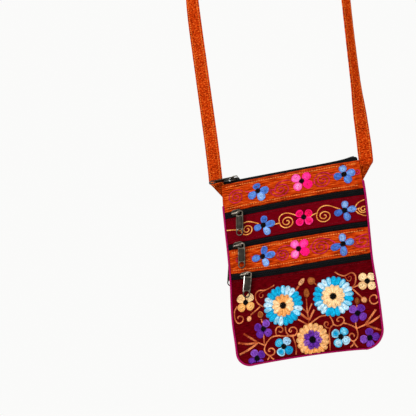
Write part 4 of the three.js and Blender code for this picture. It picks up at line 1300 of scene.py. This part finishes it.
# %% [markdown]
# The strap is the orange cloth folded in three and sewn along both edges. Both ends narrow into a
# triangular ear in the side seam. It hangs flat at the front, turns edge-on as it climbs and lies flat
# over the top of its arch. Tables give the ears, the legs and how far each leg is turned, and the arch is
# half an ellipse that takes up what is left of the length.

# %% Measures of the strap
STRAP_LENGTH = 1200.0
STRAP = {"width": 18.5, "thickness": 2.0, "cap_rise": 100.0}
EAR_TOP = {-1: 5.0, 1: -6.0}
SETBACK = {"depth": 3.4, "from": 0.5, "full": 7.0, "hold": 60.0, "end": 260.0}
EAR = table(
    "rise inner outer",
    (-22, 86.8, 92.2),
    (-20, 86.2, 93.6),
    (-12, 86.0, 99.4),
    (-5, 87.0, 104.4),
    (-1, 89.6, 107.8),
)
EAR_TAIL = {"rise": -35, "inner": 88.6, "outer": 91.9}
EARS = {-1: [EAR_TAIL, *EAR], 1: EAR}
LEGS = table(
    "rise left right left_turn right_turn",
    (-12, 100.4, 99.2, 0, 0),
    (5, 100.6, 99.4, 0, 0),
    (20, 100.8, 99.5, 0, 20),
    (60, 102.0, 99.0, 0, 36),
    (95, 103.6, 98.6, 0, 56),
    (160, 106.3, 98.6, 0, 64),
    (260, 110.2, 100.0, 6, 66),
    (350, 111.0, 102.5, 55, 80),
    (440, 110.0, 104.5, 90, 90),
    (520, 110.0, 105.0, 90, 90),
)
STRAP_STEPS = {"ear": 26, "foot": 26, "leg": 6.0, "arch": 62}
FOOT = {"from": 3, "to": 60}
SPRING = {side: LEGS[-1][SIDE[side]] for side in (-1, 1)}
cap_half = (SPRING[-1] + SPRING[1]) / 2
cap_sum, cap_rise = cap_half + STRAP["cap_rise"], STRAP["cap_rise"]
cap_length = math.pi * (3 * cap_sum - math.sqrt((3 * cap_half + cap_rise) * (cap_half + 3 * cap_rise))) / 2
spring_rise = (STRAP_LENGTH - cap_length + EAR_TOP[-1] + EAR_TOP[1]) / 2
print(f"the arch springs {spring_rise:.0f} mm above the pouch")

# %% [markdown]
# The path goes up the left leg from its ear, over the arch and down the right leg. Each section has a
# centre, a width, a turn and a heading. From those come the two directions that the cloth is built on:
# across the strap, and straight out of its face.

# %% The strap's path
def smooth_step(value, low, high):
    """A soft step from 0 to 1 between two values."""
    p = np.clip((value - low) / (high - low), 0, 1)
    return p * p * (3 - 2 * p)


def strap_leg(side):
    """Centre, width, turn and heading at each section of one leg, from the ear up to the spring."""
    top = EAR_TOP[side]
    ear_rise = np.linspace(EARS[side][0]["rise"], EARS[side][-1]["rise"], STRAP_STEPS["ear"])
    inner, outer = (column(EARS[side], "rise", key)(ear_rise) for key in ("inner", "outer"))
    step = STRAP_STEPS["leg"]
    leg_rise = np.concatenate([np.linspace(top + FOOT["from"], FOOT["to"], STRAP_STEPS["foot"]),
                               np.arange(FOOT["to"] + step, spring_rise, step), [spring_rise]])
    rise = np.concatenate([ear_rise + top, leg_rise])
    centre = np.concatenate([(inner + outer) / 2, column(LEGS, "rise", SIDE[side])(leg_rise)])
    width = np.concatenate([outer - inner, np.full(len(leg_rise), STRAP["width"])])
    turn = np.concatenate([0 * ear_rise, column(LEGS, "rise", SIDE[side] + "_turn")(leg_rise)])
    back = SETBACK["depth"] * smooth_step(rise, SETBACK["from"], SETBACK["full"]) * (
        1 - smooth_step(rise, SETBACK["hold"], SETBACK["end"]))
    back = back if side < 0 else 0 * rise
    points = np.stack([side * centre, back, rise], axis=1)
    return points, width, np.radians(np.clip(turn, 0, 90)), len(ear_rise)


def strap_path():
    """Sections along the whole strap, from the left ear over the arch to the right ear."""
    left, right = strap_leg(-1), strap_leg(1)
    angle = np.linspace(0, np.pi, STRAP_STEPS["arch"])[1:-1]
    reach = np.where(angle < np.pi / 2, SPRING[-1], SPRING[1])
    cap = np.stack([-reach * np.cos(angle), 0 * angle, spring_rise + cap_rise * np.sin(angle)], axis=1)
    points = np.concatenate([left[0], cap, right[0][::-1]])
    width = np.concatenate([left[1], np.full(len(cap), STRAP["width"]), right[1][::-1]])
    turn = np.concatenate([left[2], np.full(len(cap), np.pi / 2), right[2][::-1]])
    heading = np.gradient(points * (1, 0, 1), axis=0)
    heading /= np.linalg.norm(heading, axis=1, keepdims=True)
    heading[:left[3]] = (0, 0, 1)
    heading[-right[3]:] = (0, 0, -1)
    return points, width, turn, heading


strap_points, strap_width, strap_turn, strap_heading = strap_path()
strap_outward = np.stack([-strap_heading[:, 2], 0 * strap_turn, strap_heading[:, 0]], axis=1)
strap_normal = (np.cos(strap_turn)[:, None] * np.array([0, -1, 0])
                + np.sin(strap_turn)[:, None] * strap_outward)
strap_across = np.cross(strap_heading, strap_normal)
strap_run = np.concatenate([[0], np.cumsum(np.linalg.norm(np.diff(strap_points, axis=0), axis=1))])
print(f"strap {strap_run[-1]:.0f} mm along its middle")

# %% [markdown]
# The strap's section is a flat cushion: rounded folded edges, a sunken line where each row of sewing pulls
# the layers together, and a slight swell between. One half of it, mirrored, makes both faces. Four rows of
# lighter stitches lie in the sunken lines, and every stitch follows the turn of the strap.

# %% Strap cloth and its sewing
STRAP_SECTION = [(1.0, 0.3), (0.99, 0.62), (0.96, 0.88), (0.9, 1.02), (0.82, 0.98), (0.75, 0.78),
                 (0.68, 0.76), (0.6, 0.96), (0.42, 1.06), (0.2, 1.04), (0.0, 1.0)]
STRAP_RIPPLE = {"height": 0.10, "length": 3.1, "from": 0.55}
STRAP_SEWING = {"share": 0.715, "lift": 0.86, "stitch": 0.72, "overlap": 1.15, "from_end": 30.0,
                "tones": ("#d06c20", "#e48e40")}


def strap_layer(side):
    """The strap's front (1) or back (-1) face as a grid, and the flat map that goes with it."""
    section = np.array([(-share, lift) for share, lift in STRAP_SECTION] + STRAP_SECTION[-2::-1])
    near_edge = np.abs(section[:, 0]) > STRAP_RIPPLE["from"]
    ripple = 1 + STRAP_RIPPLE["height"] * np.sin(strap_run / STRAP_RIPPLE["length"])[:, None] * near_edge
    over = section[:, 0] * strap_width[:, None] / 2
    lift = section[:, 1] * ripple * STRAP["thickness"] / 2 * side
    grid = (strap_points[:, None] + over[..., None] * strap_across[:, None]
            + lift[..., None] * strap_normal[:, None])
    grid = grid * MM + np.array([0, 0, TOP_EDGE])
    return grid, np.stack([over, np.broadcast_to(strap_run[:, None], over.shape)], axis=-1) * MM


strap_front, strap_flat = strap_layer(1)
strap_back, _ = strap_layer(-1)
strap = closed_sheet("shoulder_strap", strap_front, strap_back, strap_flat, ORANGE_STRAP)


def along_strap(line, marks):
    """The points of a line that runs with the strap, at marks along the strap's length."""
    return np.stack([np.interp(marks, strap_run, axis) for axis in line.T], axis=1)


def strap_guides():
    """Guides for four rows of sewing: near both edges, on both faces."""
    from_end, stitch = STRAP_SEWING["from_end"], SEAM_STITCH["pitch"] * STRAP_SEWING["stitch"]
    marks = np.arange(from_end, strap_run[-1] - from_end, SEAM_STITCH["pitch"])
    rows = []
    for edge_side in (-1, 1):
        aside = strap_across * (edge_side * STRAP_SEWING["share"] * strap_width / 2)[:, None]
        for face_side in (-1, 1):
            line = strap_points + aside + strap_normal * face_side * STRAP_SEWING["lift"]
            first, last = along_strap(line, marks), along_strap(line, marks + stitch)
            rows.append(((first + last) / 2 * MM + np.array([0, 0, TOP_EDGE]),
                         (last - first) * STRAP_SEWING["overlap"] * MM,
                         along_strap(strap_normal, marks) * face_side))
    middle, run, facing = (np.concatenate(values) for values in zip(*rows))
    tone = mix(STRAP_SEWING["tones"], draw.random(len(middle)))
    tone = np.concatenate([tone, np.ones((len(tone), 1))], axis=1)
    return middle, run, facing, np.full(len(middle), SEAM_STITCH["girth"] * MM), tone


strap_sewing = lay_strands("strap_stitches", strap_guides(), FLOSS_THREAD, Sides=5, Rings=4)

# %% [markdown]
# A coil zip is two woven tapes with a nylon spiral sewn to each facing edge. Closed, the spirals mesh into
# one ridge of slanted loops. The tape is a closed sheet that ends on each side where the hem folds over it,
# and the loops are strands laid in two rows along its middle, leaning towards each other.

# %% Zips in the cloth
TAPE_SECTION = [(-1.0, 0.7), (-0.85, 0.95), (-0.6, 1.0), (-0.46, 1.35), (-0.24, 1.5), (0.0, 1.4),
                (0.24, 1.5), (0.46, 1.35), (0.6, 1.0), (0.85, 0.95), (1.0, 0.7)]
TOOTH = {"pitch": 1.5, "meet": 0.25, "reach": 0.95, "length": 2.2, "girth": 0.95, "slant": 0.5,
         "overlap": 1.15, "lift": 2.2, "bow": 0.12, "colour": "#12181c"}
ZIP_COLUMNS, TAPE_INSET = 91, 0.8
COIL_INSET = {"front": 2.6, "back": 5.4}


def zip_point(zip_row, x, across, lift):
    """A point on a zip: across it upwards, and lifted from the wall's inner face."""
    share = share_at(x, np.full(np.shape(x), zip_row["drop"]))
    drop = slot_drop(zip_row, share)
    return place(x, inner_depth(zip_row["face"], share, drop) + lift, drop - across, zip_row["face"])


def zip_ends(zip_row, inset):
    """Where a zip ends on the left and the right, a little inside the seams."""
    return [side * (float(half_width(side, zip_row["drop"])) - inset) for side in (-1, 1)]


def zip_tape(name, zip_row):
    """Both tapes of a closed zip as one sheet, as wide as its slot."""
    x = np.linspace(*zip_ends(zip_row, TAPE_INSET), ZIP_COLUMNS)
    section = [(across * (slot_half(zip_row, -1 if across > 0 else 1) - GAP), lift)
               for across, lift in TAPE_SECTION]
    outer = np.stack([zip_point(zip_row, x, across, lift) for across, lift in section], axis=1)
    inner = np.stack([zip_point(zip_row, x, across, 0.0) for across, _ in section], axis=1)
    flat = np.stack(np.meshgrid([across for across, _ in section], x), axis=-1)[..., ::-1] * MM
    return closed_sheet(name + "_zip_tape", outer, inner, flat, ZIP_TAPE)


def coil_guides(point_at, outward, x):
    """Guides for the loops of a coil: two rows of slanted strands that mesh along the middle."""
    rows = []
    for side in (-1, 1):
        at = x + (0.5 * TOOTH["pitch"] if side > 0 else 0)
        inner, outer = TOOTH["meet"] * side, (TOOTH["reach"] + TOOTH["length"] / 2) * side
        first, last = point_at(at + TOOTH["slant"], inner), point_at(at - TOOTH["slant"], outer)
        rows.append(((first + last) / 2, (last - first) * TOOTH["overlap"], np.tile(outward, (len(at), 1))))
    middle, run, facing = (np.concatenate(values) for values in zip(*rows))
    tone = np.tile(linear(TOOTH["colour"]), (len(middle), 1))
    return middle, run, facing, np.full(len(middle), TOOTH["girth"] * MM), tone


zip_tapes, zip_coils = {}, {}
for name, zip_row in ZIPS.items():
    zip_tapes[name] = zip_tape(name, zip_row)
    guides = coil_guides(
        lambda x, across: zip_point(zip_row, x, across, TOOTH["lift"] - TOOTH["bow"] * abs(across)),
        (0, -1.0 if zip_row["face"] == "front" else 1.0, 0),
        np.arange(*zip_ends(zip_row, COIL_INSET[zip_row["face"]]), TOOTH["pitch"]))
    zip_coils[name] = lay_strands(name + "_zip_coil", guides, NYLON, Rings=5, Flatness=1.1)

# %% [markdown]
# The top zip closes the mouth, so its tapes stand up out of the cloth and lean together under the coil.
# Its right end is turned up and tucked in, which the photograph shows as a small dark hump. Its left end
# stands up beside the slider and runs on in a short tail past the corner.

# %% The zip at the mouth
TOP_ZIP = table(
    "x rise",
    (-85.6, 3.4),
    (-60, 3.7),
    (0, 3.7),
    (50, 3.6),
    (72, 4.4),
    (84, 5.9),
    (88.6, 5.2),
)
TOP_TAPE = {"tuck": 6.0, "inside": 1.5, "lip": 0.5, "fold": 0.35, "lean": 0.72, "shoulder": 0.94,
            "crest": 0.4, "wall": 1.0, "apart": 0.1, "lining": 0.5, "ridge_half": 1.9, "under_coil": 1.2,
            "width": 24}
TUCKED_END = {"length": 3, "drop": 1.2}
STANDING_END = {"length": 6, "tail": 3.4, "rise": 1.7, "from": 6.4, "over": 2.4}
TOP_COIL = {"sunk": 0.75, "from_left": 1, "from_right": 5}
top_left, top_right = TOP_ZIP[0]["x"], TOP_ZIP[-1]["x"]
top_rise = column(TOP_ZIP, "x", "rise")


def both_tapes(half):
    """A grid that goes up the front tape and comes down the back one."""
    rows = [("front", row) for row in half] + [("back", row) for row in half[::-1]]
    return np.stack([place(x, out, -rise, face) for face, (x, out, rise) in rows], axis=1)


def top_zip_tape():
    """The tapes that close the mouth, from inside the cloth up to the coil and down again."""
    x = np.linspace(top_left, top_right, ZIP_COLUMNS)
    mouth = inner_depth("back", share_at(x, 0 * x), 0 * x) - GAP
    tucked = np.clip((x - (top_right - TUCKED_END["length"])) / TUCKED_END["length"], 0, 1) ** 2
    standing = np.clip((top_left + STANDING_END["length"] - x) / STANDING_END["length"], 0, 1) ** 2
    raised = np.clip((top_left + STANDING_END["from"] - x) / STANDING_END["over"], 0, 1)
    rise = top_rise(x) - TOP_TAPE["under_coil"] - TUCKED_END["drop"] * tucked + STANDING_END["rise"] * raised
    ridge = np.minimum(TOP_TAPE["ridge_half"], mouth)
    half = [(mouth, -TOP_TAPE["tuck"] + 0 * x), (mouth, -TOP_TAPE["inside"] + 0 * x),
            (mouth, TOP_TAPE["lip"] + 0 * x), (mouth, rise * TOP_TAPE["fold"]),
            (0.5 * (mouth + ridge), rise * TOP_TAPE["lean"]), (ridge, rise * TOP_TAPE["shoulder"]),
            (TOP_TAPE["crest"] * ridge, rise)]
    half = [(x - STANDING_END["tail"] * standing * np.clip(z, 0, 1), y, z) for y, z in half]
    outer = both_tapes(half)
    inner = both_tapes([(at, np.maximum(y - TOP_TAPE["wall"], TOP_TAPE["apart"]), z - TOP_TAPE["lining"])
                        for at, y, z in half])
    across = np.linspace(0, TOP_TAPE["width"], outer.shape[1])
    flat = np.stack(np.meshgrid(across, x), axis=-1)[..., ::-1] * MM
    return closed_sheet("top_zip_tape", outer, inner, flat, ZIP_TAPE)


zip_tapes["top"] = top_zip_tape()
top_guides = coil_guides(
    lambda x, across: place(x, across, -(top_rise(x) - TOP_COIL["sunk"] - TOOTH["bow"] * abs(across))),
    (0, 0, 1.0),
    np.arange(top_left + TOP_COIL["from_left"], top_right - TOP_COIL["from_right"], TOOTH["pitch"]))
zip_coils["top"] = lay_strands("top_zip_coil", top_guides, NYLON, Rings=5, Flatness=1.1)

# %% [markdown]
# Cast parts are flat outlines with eased edges. A filled two-dimensional curve with a small bevel makes
# such a plate in one step, holes included, and is turned into a mesh before it is set in place. A casting is
# a few such plates, each with its own finish, joined into one piece.

# %% Plates from outlines
MERGE_DISTANCE, SHARP_FROM = 1e-4, math.radians(40)
CORNER_STEPS, RING_STEPS = 7, 24


def arc(centre, radius, start, end, steps=10):
    """Points on an arc between two angles in degrees."""
    angle = np.radians(np.linspace(start, end, steps))
    return [(centre[0] + radius * math.cos(a), centre[1] + radius * math.sin(a)) for a in angle]


def rounded_box(centre, half_x, half_y, radius):
    """A rectangle with round corners, counter-clockwise."""
    x, y = half_x - radius, half_y - radius
    corners = [(x, y, 0), (-x, y, 90), (-x, -y, 180), (x, -y, 270)]
    return [point for dx, dy, turn in corners
            for point in arc((centre[0] + dx, centre[1] + dy), radius, turn, turn + 90, CORNER_STEPS)]


def plate(outline, holes, depth, bevel):
    """A plate of a given depth about z = 0, in millimetres, with its edges eased."""
    curve = bpy.data.curves.new("plate", "CURVE")
    curve.dimensions = "2D"
    curve.fill_mode = "BOTH"
    curve.extrude = depth / 2 - bevel
    curve.bevel_depth = bevel
    curve.bevel_resolution = 2
    curve.offset = -bevel
    for loop in [outline] + [hole[::-1] for hole in holes]:
        spline = curve.splines.new("POLY")
        spline.points.add(len(loop) - 1)
        spline.points.foreach_set("co", [value for x, y in loop for value in (x, y, 0, 1)])
        spline.use_cyclic_u = True
    holder = bpy.data.objects.new("plate", curve)
    bpy.context.scene.collection.objects.link(holder)
    mesh = bpy.data.meshes.new_from_object(holder.evaluated_get(bpy.context.evaluated_depsgraph_get()))
    bpy.data.objects.remove(holder)
    bpy.data.curves.remove(curve)
    return mesh


def turned(degrees, axis):
    """A rotation about one axis."""
    return Matrix.Rotation(math.radians(degrees), 4, axis)


def join_plates(name, plates, matrix):
    """Join plates, each with its own turn, into one metal piece set in place by a matrix in millimetres."""
    shell = bmesh.new()
    finishes = []
    for mesh, turn, finish in plates:
        if finish not in finishes:
            finishes.append(finish)
        mesh.transform(turn)
        mesh.polygons.foreach_set("material_index", [finishes.index(finish)] * len(mesh.polygons))
        shell.from_mesh(mesh)
        bpy.data.meshes.remove(mesh)
    bmesh.ops.remove_doubles(shell, verts=shell.verts, dist=MERGE_DISTANCE)
    bmesh.ops.recalc_face_normals(shell, faces=shell.faces)
    mesh = bpy.data.meshes.new(name)
    shell.to_mesh(mesh)
    shell.free()
    mesh.transform(Matrix.Scale(MM, 4) @ matrix)
    for finish in finishes:
        mesh.materials.append(finish)
    mesh.shade_smooth()
    mesh.set_sharp_from_angle(angle=SHARP_FROM)
    piece = bpy.data.objects.new(name, mesh)
    bpy.context.scene.collection.objects.link(piece)
    return piece


print("plate tools ready")

# %% [markdown]
# A slider is a small plate that rides on the coil, with a raised rim, two rails that grip the tape and an
# arched crown that the pull hangs in. Two of the crowns droop a little under their tabs. The pull is a long
# tab with an eye at the top, a sunken panel and a ring-like end. Along the left edge of the lower one lies
# a thin pale strip, a painted highlight.

# %% Castings of sliders and pulls
COIL_TOP = 2.9
PLATE = {"half_length": 6.4, "half_width": 4.2, "radius": 2.2, "wall": 1.2}
RAIL = {"inner": 2.6, "outer": 3.5, "foot": 1.3, "half_length": 2.4, "radius": 0.4}
CROWN = {"half_window": 5.0, "height": 3.2, "wire": 1.3, "width": 2.0, "bend": 1.6}
PULL = {"length": 33.6, "half_width": 5.0, "wall": 1.4, "bar": 1.8, "shoulder": 3.7}
EYE = {"half_width": 3.0, "length": 4.8, "radius": 1.6}
END_HOLE = 3.5
RECESS = {"top": 6.6, "bottom": 22.2, "half_width": 3.8, "radius": 1.5, "depth": 0.35, "lap": 0.4}
RIM = {"half_length": 6.2, "half_width": 4.0, "radius": 3.2, "wire": 1.2, "wall": 0.8, "height": 0.6}
HIGHLIGHT_STRIP = {"top": -3.6, "bottom": -24.0, "out": 0.9, "in": 0.7, "wall": 1.8, "taper": 0.3}
BEVEL = {"plate": 0.3, "rim": 0.25, "rail": 0.15, "crown": 0.35, "tab": 0.28, "floor": 0.05, "highlight": 0.3}
PLATE_FOOT = COIL_TOP + GAP
PLATE_TOP = PLATE_FOOT + PLATE["wall"]
STAND_UP = turned(90, "X")


def slider_plates(window, droop):
    """Plate, rails and crown in the slider's own frame: along the zip in X, out of the wall in -Y."""
    base = plate(rounded_box((0, 0), PLATE["half_length"], PLATE["half_width"], PLATE["radius"]), [],
                 PLATE["wall"], BEVEL["plate"])
    parts = [(base, Matrix.Translation((0, -(PLATE_FOOT + PLATE["wall"] / 2), 0)) @ STAND_UP, SUNKEN)]
    around = [RIM["half_length"], RIM["half_width"], RIM["radius"]]
    hole = [size - RIM["wire"] for size in around]
    rim = plate(rounded_box((0, 0), *around), [rounded_box((0, 0), *hole)], RIM["wall"], BEVEL["rim"])
    rim_out = PLATE_TOP + RIM["height"] - RIM["wall"] / 2
    parts.append((rim, Matrix.Translation((0, -rim_out, 0)) @ STAND_UP, GUNMETAL))
    rail_height = PLATE_FOOT + PLATE["wall"] / 2 - RAIL["foot"]
    for side in (-1, 1):
        rail = plate(rounded_box((0, 0), RAIL["half_length"], rail_height / 2, RAIL["radius"]), [],
                     RAIL["outer"] - RAIL["inner"], BEVEL["rail"])
        middle = (0, -RAIL["foot"] - rail_height / 2, side * (RAIL["inner"] + RAIL["outer"]) / 2)
        parts.append((rail, Matrix.Translation(middle), SUNKEN))
    wire, bend = CROWN["wire"], CROWN["bend"]
    foot, turn = PLATE_TOP - PLATE["wall"] / 2, PLATE_TOP + CROWN["height"] - bend
    outside = [(-window - wire, foot), *arc((-window + bend, turn), bend + wire, 180, 90),
               *arc((window - bend, turn), bend + wire, 90, 0), (window + wire, foot)]
    inside = [(window, foot), *arc((window - bend, turn), bend, 0, 90),
              *arc((-window + bend, turn), bend, 90, 180), (-window, foot)]
    crown = plate((outside + inside)[::-1], [], CROWN["width"], BEVEL["crown"])
    over = Matrix.Translation((0, 0, -droop)) @ turned(180, "X")
    # The crown takes the lighter plate, a painted highlight.
    parts.append((crown, over, CROWN_HIGHLIGHT_METAL))
    return parts


def pull_plates(with_highlight_strip):
    """The tab hanging in -Y from its eye, with a sunken panel, about z = 0."""
    half, bar, shoulder = PULL["half_width"], PULL["bar"], PULL["shoulder"]
    end = bar - PULL["length"] + half
    outline = [*arc((half - shoulder, bar - shoulder), shoulder, 0, 90),
               *arc((shoulder - half, bar - shoulder), shoulder, 90, 180),
               *arc((0, end), half, 180, 360, RING_STEPS)]
    eye = rounded_box((0, -EYE["length"] / 2), EYE["half_width"], EYE["length"] / 2, EYE["radius"])
    end_hole = arc((0, end), END_HOLE, 0, 360 - 360 / RING_STEPS, RING_STEPS)
    middle = (0, -(RECESS["top"] + RECESS["bottom"]) / 2)
    half_height = (RECESS["bottom"] - RECESS["top"]) / 2
    well = rounded_box(middle, RECESS["half_width"], half_height, RECESS["radius"])
    lap = RECESS["lap"]
    panel = rounded_box(middle, RECESS["half_width"] + lap, half_height + lap, RECESS["radius"] + lap)
    frame_part = plate(outline, [eye, end_hole, well], PULL["wall"], BEVEL["tab"])
    floor_part = plate(panel, [], PULL["wall"] - 2 * RECESS["depth"], BEVEL["floor"])
    parts = [(frame_part, STAND_UP, GUNMETAL), (floor_part, STAND_UP, SUNKEN)]
    # Painted highlight: a pale strip along the tab's left edge stands in for light caught there.
    if with_highlight_strip:
        top, bottom, out, inner = (HIGHLIGHT_STRIP[key] for key in ("top", "bottom", "out", "in"))
        strip = [(-half + inner, top), (-half - out, top),
                 (-half - HIGHLIGHT_STRIP["taper"] * out, bottom), (-half + inner, bottom)]
        parts.append((plate(strip, [], HIGHLIGHT_STRIP["wall"], BEVEL["highlight"]), STAND_UP, PAINTED_HIGHLIGHT_METAL))
    return parts


print(f"a slider {2 * PLATE['half_length']:.0f} mm and a pull {PULL['length']:.0f} mm long")

# %% [markdown]
# The castings are set in place by the hinges of the frame. A hinge's position is the spot in the crown where
# the eye of the pull hangs, and its axis points into the cloth, so the two together give a slider its place
# and its turn. The pull takes the same, leaned as far as it leans in the photograph. The zip at the mouth
# faces up, so its slider and pull lie on top of it.

# %% Sliders and pulls
TOP_PULL = {"half_window": 3.4, "swivel": 20, "tilt": 8}
LEAN = {"upper": 5.5, "middle": 4.5, "lower": 12, "back": -8.5}
DROOP = {"top": 0.0, "upper": 2.0, "middle": 2.0, "lower": 0.0, "back": 0.0}
SWING_LIFT = PLATE_TOP + CROWN["height"] - CROWN["bend"]
LEG_X = CROWN["half_window"] + CROWN["wire"] / 2

sliders, pulls = {}, {}
for joint in frame["record"]["behaviour"]["joints"]:
    name = joint["name"].split("_")[0]
    pin = Vector(joint["pos_m"]) / MM
    inward = Vector(joint["axis"])
    window = TOP_PULL["half_window"] if name == "top" else CROWN["half_window"]
    if name == "top":
        to_slider = Matrix.Translation(pin + Vector((window - CROWN["bend"], 0, -SWING_LIFT)))
        to_slider = to_slider @ turned(-90, "X")
        to_pull = Matrix.Translation(pin) @ turned(TOP_PULL["swivel"], "Z")
        to_pull = to_pull @ turned(90 - TOP_PULL["tilt"], "Y") @ turned(90, "Z")
        to_pull = to_pull @ Matrix.Translation((0, 0, -PULL["bar"] / 2))
    else:
        across = inward.cross(Vector((0, 0, 1)))
        turn = Matrix((across, inward, Vector((0, 0, 1)))).transposed().to_4x4()
        to_slider = pin - across * LEG_X + inward * SWING_LIFT + Vector((0, 0, DROOP[name]))
        to_slider = Matrix.Translation(to_slider) @ turn
        to_pull = Matrix.Translation(pin) @ turn @ turned(LEAN[name], "Y")
        to_pull = to_pull @ Matrix.Translation((0, 0, CROWN["width"] / 2 + GAP))
    sliders[name] = join_plates(name + "_slider_casting", slider_plates(window, DROOP[name]), to_slider)
    pulls[name] = join_plates(name + "_pull_tab", pull_plates(name == "lower"), to_pull)
    faces = [len(piece.data.polygons) for piece in (sliders[name], pulls[name])]
    print(f"{name}: slider {faces[0]} faces, pull {faces[1]} faces")

# %% [markdown]
# Every piece is now tied to the frame: which body it moves with, and which plain solid it stands for, which is
# hidden. Each pull rides on its own tab, and all the rest rides on the bag.
# Embroidery, sewing and coils stand for no solid, because the plain model has none for them.

# %% Tying the pieces to the frame
for panel, piece in cloth_pieces.items():
    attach(piece, "bag")
    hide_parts(panel)
for piece in [*sum(embroidery.values(), []), *hem_sewing.values(), strap_sewing]:
    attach(piece, "bag")
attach(binding, "bag")
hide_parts("edge_binding")
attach(strap, "bag")
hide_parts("strap")
for name in zip_tapes:
    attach(zip_tapes[name], "bag")
    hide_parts(name + "_zip")
    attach(zip_coils[name], "bag")
for name in sliders:
    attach(sliders[name], "bag")
    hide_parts(name + "_slider")
    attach(pulls[name], name + "_tab")
    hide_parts(name + "_pull")
print(f"{len(cloth_pieces)} walls, {len(zip_tapes)} zips and {len(pulls)} pulls tied to their bodies")
